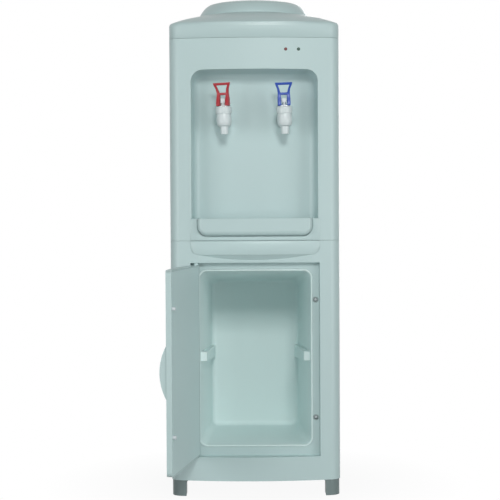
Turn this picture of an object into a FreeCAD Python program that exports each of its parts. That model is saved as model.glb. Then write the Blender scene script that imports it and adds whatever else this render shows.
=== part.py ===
"""Floor-standing bottled-water dispenser with a hot and a cold tap and a storage cabinet.

Millimetres, +Z up, the front faces -Y and +X is the viewer's right. The origin lies on the
floor, under the middle of the body. The cabinet door is modelled open, as it stands at rest.
"""
import FreeCAD, Part
import math
import os

V = FreeCAD.Vector
X_AXIS = V(1, 0, 0)
Y_AXIS = V(0, 1, 0)
Z_AXIS = V(0, 0, 1)

# Body, in plan
BODY_WIDTH = 320.0
BODY_DEPTH = 320.0
BOW_RADIUS = 700.0
CORNER_RADIUS = 22.0
REAR_RADIUS = 20.0
SHELL = 3.0
SHEET = 1.2
SEAM = 0.4
FIT = 0.3
WRAP_DEPTH = 62.0
REAR_FLANGE = 34.0

# Heights above the floor
FOOT_HEIGHT = 30.0
PANEL_SEAM_Z = 482.5
COVER_Z = 862.0

# Feet
FOOT_WIDTH = 28.0
FOOT_LENGTH = 52.0
FOOT_FLARE = 6.0
FOOT_INSET = 1.6

# Base pan
BASE_RIM = 25.0
BASE_WALL = 2.0
BASE_SLOT_LENGTH = 120.0
BASE_SLOT_WIDTH = 6.0
BASE_SLOT_PITCH = 24.0
BASE_SLOT_COUNT = 5

# Top cover and its bottle collar
COVER_BAND = 22.0
COVER_WALL = 3.0
SHOULDER_RADIUS = 19.0
DOME_STEPS = 4
DOME_RISE = 13.0
DECK_RADIUS = 100.0
SKIRT_DROP = 8.0
SKIRT_ROOT = 5.0
SKIRT_WALL = 2.5
COLLAR_BASE_RADIUS = 108.0
COLLAR_TOP_RADIUS = 96.0
COLLAR_HEIGHT = 79.0
COLLAR_ROLL = 9.0
COLLAR_BORE = 79.0
COLLAR_LEDGE_WIDTH = 8.0
COLLAR_LEDGE = 3.0
COLLAR_LEDGE_DROP = 36.0
COLLAR_DIP = 5.0
COLLAR_CHORDS = 4

# Bottle seat that lifts out of the collar
SEAT_WALL = 2.5
SEAT_RIM_DROP = 7.0
SEAT_CONE_DROP = 18.0
NECK_BORE = 30.0
NECK_LENGTH = 76.0

# Central bay of the front, shared by the dispensing bay, brow and door pocket
BAY_WIDTH = 243.0
BAY_TOP_Z = 805.0
BAY_DEPTH = 56.0
BAY_CORNER = 22.0
BAY_DRAFT = 7.0
BAY_FILLET = 14.0
FIELD_STEP = 0.8
FIELD_CORNER = 15.0

# Brow over the door
BROW_Z = 456.0
BROW_SCOOP_DROP = 10.0
BROW_SCOOP_WIDTH = 214.0

# Door pocket in the lower front
POCKET_BOTTOM_Z = 75.0
POCKET_TOP_Z = 441.0
POCKET_DEPTH = 14.0

# Cabinet liner
CABINET_WIDTH = 210.0
CABINET_BOTTOM_Z = 95.0
CABINET_TOP_Z = 425.0
CABINET_BACK_ROOM = 70.0
CABINET_CORNER = 14.0
CABINET_SIDE_DRAFT = 16.0
CABINET_TOP_DRAFT = 29.0
CABINET_FILLET = 9.0
LINER_WALL = 2.5
LINER_FLANGE = 9.0
LINER_LIP_PROUD = 1.6
LINER_LIP_EXTRA = 0.4
LINER_LIP_ROUND = 1.0
RAIL_SETBACK = 20.0
RAIL_TOP_Z = 270.0
RAIL_FRONT_HEIGHT = 17.0
RAIL_BACK_HEIGHT = 26.0
RAIL_FALL = 8.0
RAIL_FRONT_REACH = 11.0
RAIL_BACK_REACH = 7.0

# Door
DOOR_OPEN = 100.0
DOOR_EDGE = 10.0
DOOR_WALL = 2.5
DOOR_GAP = 1.3
DOOR_TOP_GAP = 4.5
DOOR_BOTTOM_GAP = 2.5
DOOR_CORNER = 9.0
DOOR_INNER_SHEET = 2.0
HINGE_SETBACK = 10.5
HINGE_PIN_RADIUS = 2.5
HINGE_PIN_GRIP = 12.0
HINGE_LUG_RADIUS = 4.5
RUN_CLEARANCE = 0.08
DOOR_RIB = 1.6
DOOR_RIB_COUNT = 4
PEG_RADIUS = 3.2
PEG_HEIGHT = 6.0
PEG_FREE_EDGE = 6.4
PEG_TOP_Z = 370.0
PEG_BOTTOM_Z = 147.0
SOCKET_CLEARANCE = 0.7
SOCKET_WALL = 1.2
SOCKET_RIM = 0.6
SOCKET_DEPTH = 8.0
GRIP_Z = 259.0
GRIP_HEIGHT = 92.0
GRIP_PROUD = 12.0
GRIP_WIDTH = 24.0
GRIP_WALL = 3.0
GRIP_EDGE = 2.0

# Drip tray and grille
TRAY_TOP_Z = 524.0
TRAY_HEIGHT = 32.0
TRAY_WIDTH = 215.0
TRAY_PROUD = 14.0
TRAY_CORNER = 18.0
TRAY_ROUND = 9.0
TRAY_WALL = 2.5
TRAY_CLEARANCE = 0.6
TRAY_LEDGE = 3.0
GRILLE_DROP = 1.0
GRILLE_THICKNESS = 3.0
GRILLE_FIT = 0.5
GRILLE_SLOT = 4.0
GRILLE_PITCH = 9.0
GRILLE_BORDER = 7.0
GRILLE_BRIDGE = 4.0

# Indicator lamps
LAMP_RADIUS = 2.9
LAMP_PROUD = 1.2
LAMP_ROUND = 0.95
LAMP_FLANGE = 1.2
LAMP_FLANGE_RADIUS = 4.2
LAMP_LENGTH = 9.0
LAMP_Z = 840.0
HOT_LAMP_X = 59.0
COLD_LAMP_X = 83.0
BOARD_SHEET = 1.6
LAMP_BOARD_HEIGHT = 18.0
LAMP_BOARD_MARGIN = 14.0
LAMP_POST_RADIUS = 2.4
LAMP_POST_INSET = 6.0

# Taps, each in a frame at the crossing of its upright axis and its inlet axis
TAP_X = 57.0
TAP_Z = 708.0
TAP_REACH = 42.0
TAP_LEAN = 2.0
HOT_LEVER_YAW = -16.0
COLD_LEVER_YAW = 2.0
TAP_BODY_RADIUS = 14.4
TAP_TOP_RADIUS = 13.2
TAP_TOP = 12.6
TAP_BOTTOM = 11.5
TAP_BULB = ((0.6, 1.0), (0.84, 0.82), (0.96, 0.45), (1.0, 0.0))
TAP_SHOULDER = 0.6
TAP_CHAMBER_RADIUS = 9.0
TAP_CHAMBER_DEPTH = 5.0
TAP_NECK_RADIUS = 10.4
TAP_NECK_HEIGHT = 6.0
TAP_SHANK_RADIUS = 8.0
TAP_SHANK_LENGTH = 9.0
TAP_FLANGE_RADIUS = 13.0
TAP_FLANGE = 3.0
TAP_SPIGOT_LENGTH = 10.0
WATERWAY = 2.8
NOZZLE_RADIUS = 7.2
NOZZLE_LENGTH = 15.0
NOZZLE_BORE = 4.4
NOZZLE_FLARE = 1.12
GASKET = 2.0
NUT_FLATS = 24.0
NUT_THICKNESS = 6.0
CAP_RADIUS = 14.6
CAP_HEIGHT = 13.4
CAP_ROOF = 3.5
CAP_ROUND = 1.8
CAP_FLUTES = 12
CAP_FLUTE_RADIUS = 0.9
STEM_RADIUS = 2.8
STEM_CLEARANCE = 0.5
STEM_FLAT_WIDTH = 8.0
STEM_FLAT_DEPTH = 7.0
STEM_SKIRT_RADIUS = 4.8
STEM_SKIRT_HEIGHT = 6.0
STEM_HEAD_ROUND = 1.0
WASHER = 0.8
WASHER_RADIUS = 11.0
LEVER_PIN_RADIUS = 1.5
LEVER_PIN_HEIGHT = 11.2
LEVER_PIN_INSET = 0.6
LEVER_HEIGHT = 43.0
LEVER_TOP_WIDTH = 32.6
LEVER_WAIST_WIDTH = 19.0
LEVER_FOOT_WIDTH = 22.0
LEVER_BAR = 3.6
LEVER_SIDE_BAR = 4.0
LEVER_WAIST_BAR = 2.9
LEVER_CURVE = 1.2
LEVER_SAG = 1.5
LEVER_FORK_GAP = 1.0
LEVER_WAIST_HEIGHT = 23.0
LEVER_HEEL = 9.0
LEVER_HEEL_GAP = 0.4
LEVER_LEAN = 7.5
LEVER_DEPTH = 5.0
LEVER_BACK = 3.0
LEVER_KNUCKLE_RISE = 2.0
LEVER_SWELL = 1.0
LEVER_NOSE = 4.0
CUP_RADIUS = 7.2
CUP_HEIGHT = 14.0
CUP_SOCKET = 7.0
CUP_SEAT_GAP = 0.1
CUP_FOOT = 0.8
CUP_LIP = 2.5
CUP_WAIST = 0.72
CUP_WAIST_RISE = 5.0

# Cold side
COLD_TANK_BOTTOM_Z = 690.0
COLD_TANK_HEIGHT = 160.0
COLD_TANK_SHARE = 0.62
TANK_WALL = 1.5
TANK_LIP = 6.0
FOAM_FLOOR = 18.0
FOAM_HOSE_GAP = 1.8
FOAM_RIM_DROP = 4.0
FOAM_FLAT = 2.0
COLD_BLOCK_SIZE = 40.0
MODULE_THICKNESS = 4.0
SINK_SIZE = 100.0
SINK_BASE = 5.0
FIN_HEIGHT = 24.0
FIN_THICKNESS = 1.6
FIN_COUNT = 12
FAN_SIZE = 92.0
FAN_DEPTH = 25.0
FAN_WALL = 2.5
FAN_HUB_RADIUS = 19.0
FAN_TIP_GAP = 1.5
FAN_BLADES = 7
FAN_BLADE = 1.6
FAN_PITCH = 38.0
FAN_SHAFT_RADIUS = 2.0
FAN_STRUT = 4.0
FAN_HOLE_RADIUS = 2.2
FAN_HOLE_INSET = 5.5
FAN_CORNER = 5.0
FAN_END_GAP = 1.0
FAN_CHORD = 1.2
FAN_ROOT = 2.0
BRACKET_FLANGE = 18.0
BRACKET_GAP = 3.0

# Hot side
HOT_TANK_X = -45.0
HOT_TANK_RADIUS = 52.0
HOT_TANK_HEIGHT = 140.0
HOT_TANK_DOME = 14.0
HOT_TANK_BULGE = 0.3
JACKET_WALL = 9.0
JACKET_SPLIT = 24.0
JACKET_DROP = 22.0
HEATER_THICKNESS = 3.2
HEATER_HEIGHT = 40.0
HEATER_RISE = 34.0
HEATER_LUG = 7.0
HEATER_SPLIT = 2.0
THERMOSTAT_RADIUS = 8.0
THERMOSTAT_HEIGHT = 6.0
THERMOSTAT_SPREAD = 36.0
THERMOSTAT_SHIFT_X = 6.0
THERMOSTAT_SHIFT_Y = 12.0
TAB_SPREAD = 3.5
TAB_THICKNESS = 1.0
TAB_WIDTH = 6.0
TAB_HEIGHT = 8.0
SHELF_Z = 458.0
SHELF_FLANGE = 16.0

# Hoses
HOSE_RADIUS = 6.0
HOSE_GAP = 0.15
HOSE_BEND = 14.0
PIPE_BEND = 6.0
SPIGOT_RADIUS = 4.0
SPIGOT_REACH = 12.0
HOT_PORT_RISE = 24.0
HOT_OUTLET_Z = 575.0
FEED_INSET = 7.0
FEED_ANGLE = 19.0
HOSE_RISER_GAP = 14.5
RISER_ROOM = 20.7
OUTLET_REACH = 5.0
DRAIN_SHARE = 0.3

# Back panel fittings
VENT_LENGTH = 90.0
VENT_SLOT = 5.0
VENT_PITCH = 13.0
VENT_COUNT = 7
LOW_VENT_Z = 330.0
SWITCH_Z = 600.0
SWITCH_EDGE = 62.0
SWITCH_PITCH = 36.0
SWITCH_WIDTH = 15.0
SWITCH_HEIGHT = 24.0
SWITCH_DEPTH = 16.0
SWITCH_FLANGE = 2.0
SWITCH_FLANGE_RIM = 2.0
SWITCH_WALL = 1.0
ROCKER_WIDTH = 10.0
ROCKER_LENGTH = 18.0
ROCKER_GAP = 0.5
ROCKER_PROUD = 3.0
ROCKER_PIVOT = 3.5
ROCKER_TILT = 8.0
ROCKER_TRUNNION = 1.2
ROCKER_TRUNNION_REACH = 0.8
ROCKER_KEEL = 2.5
SPOUT_RADIUS = 8.0
SPOUT_LENGTH = 13.0
SPOUT_FLANGE_RADIUS = 14.0
SPOUT_FLANGE = 2.5
SPOUT_BORE = 3.0
SPOUT_INSIDE = 6.0
DRAIN_CAP_WALL = 2.5
DRAIN_CAP_RIBS = 12
CAP_THREAD_GAP = 0.35
GROMMET_EDGE = 50.0
GROMMET_Z = 510.0
GROMMET_RADIUS = 9.0
GROMMET_BORE = 3.6
GROMMET_LIP = 2.0

# Power board on the tank shelf
POWER_BOARD_GAP = 10.0
POWER_BOARD_SETBACK = 8.0
POWER_BOARD_WIDTH = 76.0
POWER_BOARD_LENGTH = 104.0
STANDOFF_HEIGHT = 7.0
STANDOFF_RADIUS = 3.0
TRANSFORMER_SIZE = (44.0, 40.0, 34.0)
CAPACITOR_RADIUS = 8.0
CAPACITOR_PITCH = 19.2
CAPACITOR_HEIGHT = 26.0
RELAY_SIZE = (16.0, 20.0, 15.0)

# Places worked out from the sizes above
HALF_WIDTH = BODY_WIDTH / 2
FRONT_Y = -BODY_DEPTH / 2
BACK_Y = BODY_DEPTH / 2
BOW_CENTRE_Y = FRONT_Y + BOW_RADIUS
WRAP_Y = FRONT_Y + WRAP_DEPTH
BAY_HALF = BAY_WIDTH / 2
BAY_BACK_Y = FRONT_Y + BAY_DEPTH
FAR = 1000.0
OVERCUT = 1.0
PICK = 0.05


def bow_y(x, inset=0.0):
    """Y of the bowed front at x, or of a face inset behind it."""
    return BOW_CENTRE_Y - math.sqrt((BOW_RADIUS - inset) ** 2 - x ** 2)


POCKET_Y = bow_y(BAY_HALF) + POCKET_DEPTH
LIP_Y = POCKET_Y - LINER_LIP_PROUD
CABINET_DEPTH = BODY_DEPTH - CABINET_BACK_ROOM
DOOR_INNER_Y = bow_y(BAY_HALF) + DOOR_EDGE
HINGE_X = -BAY_HALF + HINGE_SETBACK
HINGE_Y = (bow_y(HINGE_X) + DOOR_INNER_Y) / 2
HINGE_END_RADIUS = (DOOR_INNER_Y - bow_y(HINGE_X)) / 2
DOOR_FREE_X = BAY_HALF - DOOR_GAP
DOOR_Z0 = POCKET_BOTTOM_Z + DOOR_BOTTOM_GAP
DOOR_Z1 = POCKET_TOP_Z - DOOR_TOP_GAP
PEG_X = DOOR_FREE_X - PEG_FREE_EDGE
BACK_OUTER_Y = BACK_Y - SHEET
BACK_INNER_Y = BACK_OUTER_Y - SHEET
TRAY_Z0 = TRAY_TOP_Z - TRAY_HEIGHT
TRAY_BACK_Y = BAY_BACK_Y - TRAY_CLEARANCE
GRILLE_TOP_Z = TRAY_TOP_Z - GRILLE_DROP
COVER_EDGE_Z = COVER_Z + COVER_BAND
COLLAR_TOP_Z = COVER_Z + COLLAR_HEIGHT
LEDGE_TOP_Z = COLLAR_TOP_Z - COLLAR_LEDGE_DROP
TAP_Y = BAY_BACK_Y - TAP_REACH
CAP_TOP = TAP_TOP + CAP_HEIGHT
HEEL_Z = CAP_TOP + WASHER + LEVER_HEEL_GAP
PIN_Z = HEEL_Z + LEVER_PIN_HEIGHT
TANK_TOP_Z = COLD_TANK_BOTTOM_Z + COLD_TANK_HEIGHT
SPIGOT_END_Y = BAY_BACK_Y + SHELL + TAP_SHANK_LENGTH + FIT
RISER_Y = SPIGOT_END_Y + TAP_SPIGOT_LENGTH + HOSE_RISER_GAP
FOAM_RADIUS = math.hypot(TAP_X, RISER_Y) - HOSE_RADIUS - FOAM_HOSE_GAP
COLD_TANK_RADIUS = FOAM_RADIUS * COLD_TANK_SHARE
BRACKET_FRONT = -RISER_Y - HOSE_RADIUS - BRACKET_GAP
FOAM_Z0 = COLD_TANK_BOTTOM_Z - FOAM_FLOOR
COLD_AXIS_Z = COLD_TANK_BOTTOM_Z + COLD_TANK_HEIGHT / 2
MODULE_Y = FOAM_RADIUS
SINK_Y = MODULE_Y + MODULE_THICKNESS
FAN_Y = SINK_Y + SINK_BASE + FIN_HEIGHT
HOT_TANK_Z = SHELF_Z + SHEET
HOT_PORT_Z = HOT_TANK_Z + HOT_PORT_RISE
HOT_TANK_TOP_Z = HOT_TANK_Z + HOT_TANK_HEIGHT
JACKET_BORE = HOT_TANK_RADIUS + HEATER_THICKNESS + FIT
JACKET_RADIUS = JACKET_BORE + JACKET_WALL
HOT_TANK_Y = RISER_Y + RISER_ROOM + JACKET_RADIUS
DRAIN_INNER_Y = BACK_INNER_Y - SPOUT_INSIDE
DRAIN_SPIGOT = DRAIN_SHARE * (DRAIN_INNER_Y - HOT_TANK_Y - JACKET_RADIUS)
FEED_RADIUS = COLD_TANK_RADIUS - FEED_INSET
FEED_TURN = math.radians(FEED_ANGLE)
FEED = V(FEED_RADIUS * math.cos(FEED_TURN), FEED_RADIUS * math.sin(FEED_TURN), 0)
COLD_SWITCH_X = HALF_WIDTH - SWITCH_EDGE
HOT_SWITCH_X = COLD_SWITCH_X - SWITCH_PITCH
GROMMET_X = HALF_WIDTH - GROMMET_EDGE
POWER_BOARD_X = HALF_WIDTH - POWER_BOARD_GAP - POWER_BOARD_WIDTH
POWER_BOARD_Y = BAY_BACK_Y + POWER_BOARD_SETBACK


def box(x0, x1, y0, y1, z0, z1):
    """Box between two corners."""
    return Part.makeBox(x1 - x0, y1 - y0, z1 - z0, V(x0, y0, z0))


def rod(start, axis, radius, length):
    """Cylinder from a point along an axis."""
    return Part.makeCylinder(radius, length, start, axis)


def tube(start, axis, radius, bore, length):
    """Hollow cylinder from a point along an axis."""
    return rod(start, axis, radius, length).cut(rod(start, axis, bore, length))


def fused(first, *others):
    """One clean solid of several that overlap."""
    return first.fuse(list(others)).removeSplitter()


def mirrored(shape):
    """The same shape on the other side of the body's middle plane."""
    return shape.mirror(V(0, 0, 0), X_AXIS)


def arc(start, middle, end):
    """Edge of a circle through three points."""
    return Part.Arc(start, middle, end).toShape()


def line(start, end):
    """Straight edge."""
    return Part.LineSegment(start, end).toShape()


def prism(edges, direction):
    """Solid pushed out of a closed outline."""
    return Part.Face(Part.Wire(edges)).extrude(direction)


def polygon_prism(points, direction):
    """Solid pushed out of a closed outline of straight sides."""
    return Part.Face(Part.makePolygon(points + points[:1])).extrude(direction)


def turned(profile, centre):
    """Solid of revolution about an upright axis, from radius and height points."""
    points = [V(radius, 0, height) for radius, height in profile]
    face = Part.Face(Part.makePolygon(points + points[:1]))
    solid = face.revolve(V(0, 0, 0), Z_AXIS, 360)
    solid.translate(centre)
    return solid


def plan_edges(z, half_width, front, back, bow, front_r, rear_r):
    """Outline of the body in plan: bowed front, rounded corners, flat sides and back."""
    centre_y = front + bow
    corner_x = half_width - front_r
    corner_y = centre_y - math.sqrt((bow - front_r) ** 2 - corner_x ** 2)
    reach = bow / (bow - front_r)
    front_x = corner_x * reach
    front_y = centre_y + (corner_y - centre_y) * reach
    half_turn = math.atan2(front_y - corner_y, front_x - corner_x) / 2
    bend_x = corner_x + front_r * math.cos(half_turn)
    bend_y = corner_y + front_r * math.sin(half_turn)
    rear_x = half_width - rear_r
    rear_y = back - rear_r
    diagonal = rear_r * math.sqrt(0.5)
    return [
        arc(V(-front_x, front_y, z), V(0, front, z), V(front_x, front_y, z)),
        arc(V(front_x, front_y, z), V(bend_x, bend_y, z), V(half_width, corner_y, z)),
        line(V(half_width, corner_y, z), V(half_width, rear_y, z)),
        arc(V(half_width, rear_y, z), V(rear_x + diagonal, rear_y + diagonal, z), V(rear_x, back, z)),
        line(V(rear_x, back, z), V(-rear_x, back, z)),
        arc(V(-rear_x, back, z), V(-rear_x - diagonal, rear_y + diagonal, z), V(-half_width, rear_y, z)),
        line(V(-half_width, rear_y, z), V(-half_width, corner_y, z)),
        arc(V(-half_width, corner_y, z), V(-bend_x, bend_y, z), V(-front_x, front_y, z)),
    ]


def body_edges(z, inset=0.0):
    """The body's outline in plan, or one inset from it."""
    return plan_edges(z, HALF_WIDTH - inset, FRONT_Y + inset, BACK_Y - inset, BOW_RADIUS - inset,
                      CORNER_RADIUS - inset, REAR_RADIUS - inset)


def body_prism(z0, z1, inset=0.0):
    """The body's plan pushed up between two heights."""
    return prism(body_edges(z0, inset), V(0, 0, z1 - z0))


def body_ring(z0, z1, wall, inset=0.0):
    """Upright wall that follows the body's plan."""
    return body_prism(z0, z1, inset).cut(body_prism(z0, z1, inset + wall))


def front_layer(depth, tool):
    """The outermost layer of the bowed front inside a tool."""
    return tool.common(body_ring(FOOT_HEIGHT, COVER_Z, depth))


def window_edges(y, half_width, z0, z1, radius):
    """Outline of an upright rounded window in the plane of y."""
    diagonal = radius * math.sqrt(0.5)
    x = half_width - radius
    low = z0 + radius
    high = z1 - radius
    return [
        line(V(-x, y, z0), V(x, y, z0)),
        arc(V(x, y, z0), V(x + diagonal, y, low - diagonal), V(half_width, y, low)),
        line(V(half_width, y, low), V(half_width, y, high)),
        arc(V(half_width, y, high), V(x + diagonal, y, high + diagonal), V(x, y, z1)),
        line(V(x, y, z1), V(-x, y, z1)),
        arc(V(-x, y, z1), V(-x - diagonal, y, high + diagonal), V(-half_width, y, high)),
        line(V(-half_width, y, high), V(-half_width, y, low)),
        arc(V(-half_width, y, low), V(-x - diagonal, y, low - diagonal), V(-x, y, z0)),
    ]


def window_prism(y0, y1, half_width, z0, z1, radius):
    """Rounded window pushed back from y0 to y1."""
    return prism(window_edges(y0, half_width, z0, z1, radius), V(0, y1 - y0, 0))


def trough_edges(y, half_width, z0, z1, radius):
    """Outline with rounded lower corners and a straight open top, in the plane of y."""
    diagonal = radius * math.sqrt(0.5)
    x = half_width - radius
    low = z0 + radius
    return [
        line(V(-x, y, z0), V(x, y, z0)),
        arc(V(x, y, z0), V(x + diagonal, y, low - diagonal), V(half_width, y, low)),
        line(V(half_width, y, low), V(half_width, y, z1)),
        line(V(half_width, y, z1), V(-half_width, y, z1)),
        line(V(-half_width, y, z1), V(-half_width, y, low)),
        arc(V(-half_width, y, low), V(-x - diagonal, y, low - diagonal), V(-x, y, z0)),
    ]


def trough_prism(y0, y1, half_width, z0, z1, radius):
    """Trough outline pushed back from y0 to y1."""
    return prism(trough_edges(y0, half_width, z0, z1, radius), V(0, y1 - y0, 0))


def frustum(front, back):
    """Block between two upright rectangles, each given as y, half width, bottom and top."""
    corners = []
    for y, half, z0, z1 in (front, back):
        corners.append([V(-half, y, z0), V(half, y, z0), V(half, y, z1), V(-half, y, z1)])
    near, far = corners
    rings = [near, far]
    for step in range(4):
        after = (step + 1) % 4
        rings.append([near[step], near[after], far[after], far[step]])
    faces = [Part.Face(Part.makePolygon(ring + ring[:1])) for ring in rings]
    return Part.makeSolid(Part.makeShell(faces))


def hose_wire(points, bend):
    """Path of straight runs joined by tangent arcs."""
    edges = []
    start = points[0]
    for before, corner, after in zip(points, points[1:], points[2:]):
        back = (before - corner).normalize()
        ahead = (after - corner).normalize()
        half = back.getAngle(ahead) / 2
        run = bend / math.tan(half)
        bisector = (back + ahead).normalize()
        middle = corner + bisector * (bend / math.sin(half) - bend)
        edges.append(line(start, corner + back * run))
        edges.append(arc(corner + back * run, middle, corner + ahead * run))
        start = corner + ahead * run
    edges.append(line(start, points[-1]))
    return Part.Wire(edges)


def bent_rod(points, bend, radius):
    """Round rod along straight runs and tangent arcs."""
    ring = Part.Wire(Part.Circle(points[0], points[1] - points[0], radius).toShape())
    return hose_wire(points, bend).makePipe(Part.Face(ring))


def hose(points):
    """Silicone hose with its bore."""
    bore = bent_rod(points, HOSE_BEND, SPIGOT_RADIUS + HOSE_GAP)
    return bent_rod(points, HOSE_BEND, HOSE_RADIUS).cut(bore)


def hinge_turn(shape):
    """The door's pieces, modelled shut, swung open about the hinge axis."""
    return shape.rotated(V(HINGE_X, HINGE_Y, 0), Z_AXIS, -DOOR_OPEN)


# Housing


def make_feet():
    """Front and rear pairs of moulded feet that follow the body's corners."""
    inner = HALF_WIDTH - FOOT_WIDTH
    cove = FOOT_HEIGHT - FOOT_FLARE
    diagonal = FOOT_FLARE * math.sqrt(0.5)
    outline = [
        line(V(HALF_WIDTH, FRONT_Y, 0), V(HALF_WIDTH, FRONT_Y, FOOT_HEIGHT)),
        line(V(HALF_WIDTH, FRONT_Y, FOOT_HEIGHT), V(inner - FOOT_FLARE, FRONT_Y, FOOT_HEIGHT)),
        arc(V(inner - FOOT_FLARE, FRONT_Y, FOOT_HEIGHT),
            V(inner - FOOT_FLARE + diagonal, FRONT_Y, cove + diagonal), V(inner, FRONT_Y, cove)),
        line(V(inner, FRONT_Y, cove), V(inner, FRONT_Y, 0)),
        line(V(inner, FRONT_Y, 0), V(HALF_WIDTH, FRONT_Y, 0)),
    ]
    column = prism(outline, V(0, BODY_DEPTH, 0)).common(body_prism(0, FOOT_HEIGHT, FOOT_INSET))
    front = column.common(box(0, FAR, FRONT_Y, FRONT_Y + FOOT_LENGTH, 0, FOOT_HEIGHT))
    rear = column.common(box(0, FAR, BACK_Y - FOOT_LENGTH, BACK_Y, 0, FOOT_HEIGHT))
    return {
        "front_feet": Part.makeCompound([front, mirrored(front)]),
        "rear_feet": Part.makeCompound([rear, mirrored(rear)]),
    }


def make_base_pan():
    """Pressed pan that closes the bottom, with a rim and air slots."""
    inset = SHELL + FIT
    pan = body_prism(FOOT_HEIGHT, FOOT_HEIGHT + BASE_RIM, inset)
    pan = pan.cut(body_prism(FOOT_HEIGHT + BASE_WALL, FOOT_HEIGHT + BASE_RIM, inset + BASE_WALL))
    first = -BASE_SLOT_PITCH * (BASE_SLOT_COUNT - 1) / 2
    slots = [
        box(-BASE_SLOT_LENGTH / 2, BASE_SLOT_LENGTH / 2, y, y + BASE_SLOT_WIDTH,
            FOOT_HEIGHT - 1, FOOT_HEIGHT + BASE_WALL + 1)
        for y in (first + BASE_SLOT_PITCH * step for step in range(BASE_SLOT_COUNT))
    ]
    return {"base_pan": pan.cut(slots)}


def make_side_panels():
    """Folded sheet sides with a return flange along the back."""
    z1 = COVER_Z - SEAM
    sheet = body_ring(FOOT_HEIGHT, z1, SHEET)
    right = sheet.common(box(HALF_WIDTH - REAR_FLANGE, FAR, WRAP_Y + SEAM, FAR, 0, FAR))
    return {"right_side_panel": right, "left_side_panel": mirrored(right)}


def vent_rows(centre_z):
    """Row of louvre slots through the back panel."""
    first = centre_z - VENT_PITCH * (VENT_COUNT - 1) / 2
    half = VENT_LENGTH / 2
    return [
        box(-half, half, BACK_INNER_Y - OVERCUT, BACK_Y + OVERCUT, z - VENT_SLOT / 2, z + VENT_SLOT / 2)
        for z in (first + VENT_PITCH * step for step in range(VENT_COUNT))
    ]


def make_back_panel():
    """Sheet back with vents, switch windows, drain and cord holes."""
    half = HALF_WIDTH - REAR_RADIUS - FIT
    panel = box(-half, half, BACK_INNER_Y, BACK_OUTER_Y, FOOT_HEIGHT, COVER_Z - SEAM)
    tools = vent_rows(COLD_AXIS_Z) + vent_rows(LOW_VENT_Z)
    start = BACK_INNER_Y - OVERCUT
    half_w = SWITCH_WIDTH / 2 + FIT
    half_h = SWITCH_HEIGHT / 2 + FIT
    for x in (HOT_SWITCH_X, COLD_SWITCH_X):
        tools.append(box(x - half_w, x + half_w, start, BACK_Y, SWITCH_Z - half_h, SWITCH_Z + half_h))
    through = SHEET + 2 * OVERCUT
    tools.append(rod(V(HOT_TANK_X, start, HOT_PORT_Z), Y_AXIS, SPOUT_RADIUS + FIT, through))
    tools.append(rod(V(GROMMET_X, start, GROMMET_Z), Y_AXIS, GROMMET_RADIUS - GROMMET_LIP + FIT / 2, through))
    return {"back_panel": panel.cut(tools)}


def lower_wall():
    """Plain bowed wall of the lower front with the brow's thick lintel and the pocket's box."""
    z1 = PANEL_SEAM_Z - SEAM / 2
    wrap = box(-FAR, FAR, -FAR, WRAP_Y, 0, FAR)
    wall = body_ring(FOOT_HEIGHT, z1, SHELL).common(wrap)
    core = body_prism(FOOT_HEIGHT, z1)
    frame = core.common(box(-BAY_HALF - SHELL, BAY_HALF + SHELL, -FAR, POCKET_Y + SHELL,
                            POCKET_BOTTOM_Z - SHELL, POCKET_TOP_Z + SHELL))
    lintel = box(-BAY_HALF, BAY_HALF, -FAR, scoop_back_y() + SHELL, POCKET_TOP_Z, BROW_Z + SHELL).common(core)
    return fused(wall, frame, lintel)


def scoop_back_y():
    """Flat face behind the scoop that is cut under the brow."""
    return bow_y(BROW_SCOOP_WIDTH / 2)


def brow_scoop():
    """Lens-shaped scoop under the brow, whose roof follows the bow down and back to a flat face."""
    half = BROW_SCOOP_WIDTH / 2
    back = scoop_back_y()
    front = FRONT_Y - TRAY_PROUD - (back - FRONT_Y)
    roof = [
        arc(V(-half, back, BROW_Z), V(0, FRONT_Y, BROW_Z), V(half, back, BROW_Z)),
        line(V(half, back, BROW_Z), V(half, front, BROW_Z)),
        line(V(half, front, BROW_Z), V(-half, front, BROW_Z)),
        line(V(-half, front, BROW_Z), V(-half, back, BROW_Z)),
    ]
    slope = prism(roof, V(0, back - FRONT_Y, -BROW_SCOOP_DROP))
    slope = slope.common(box(-half, half, -FAR, back, POCKET_TOP_Z, BROW_Z))
    face = box(-half, half, front, back, POCKET_TOP_Z - OVERCUT, BROW_Z - BROW_SCOOP_DROP)
    return slope.fuse(face)


def make_lower_front():
    """Lower front: plinth, brow, door pocket, cabinet opening, hinge bores and catch holes."""
    pocket = box(-BAY_HALF, BAY_HALF, -FAR, POCKET_Y, POCKET_BOTTOM_Z, POCKET_TOP_Z)
    margin = LINER_WALL + LINER_LIP_EXTRA + FIT
    opening = window_prism(POCKET_Y - OVERCUT, POCKET_Y + SHELL + OVERCUT, CABINET_WIDTH / 2 + margin,
                           CABINET_BOTTOM_Z - margin, CABINET_TOP_Z + margin, CABINET_CORNER + margin)
    field = trough_prism(-FAR, WRAP_Y, BAY_HALF, BROW_Z, PANEL_SEAM_Z, FIELD_CORNER)
    tools = [pocket, opening, brow_scoop(), front_layer(FIELD_STEP, field)]
    bore_z = POCKET_BOTTOM_Z - SHELL - OVERCUT
    bore_top = POCKET_TOP_Z + SHELL + OVERCUT
    bore = HINGE_PIN_RADIUS + RUN_CLEARANCE
    tools.append(rod(V(HINGE_X, HINGE_Y, bore_z), Z_AXIS, bore, bore_top - bore_z))
    for z in (PEG_TOP_Z, PEG_BOTTOM_Z):
        start = V(PEG_X, POCKET_Y - OVERCUT, z)
        tools.append(rod(start, Y_AXIS, socket_radius() + FIT / 2, SHELL + 2 * OVERCUT))
    return {"lower_front_panel": lower_wall().cut(tools)}


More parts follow.
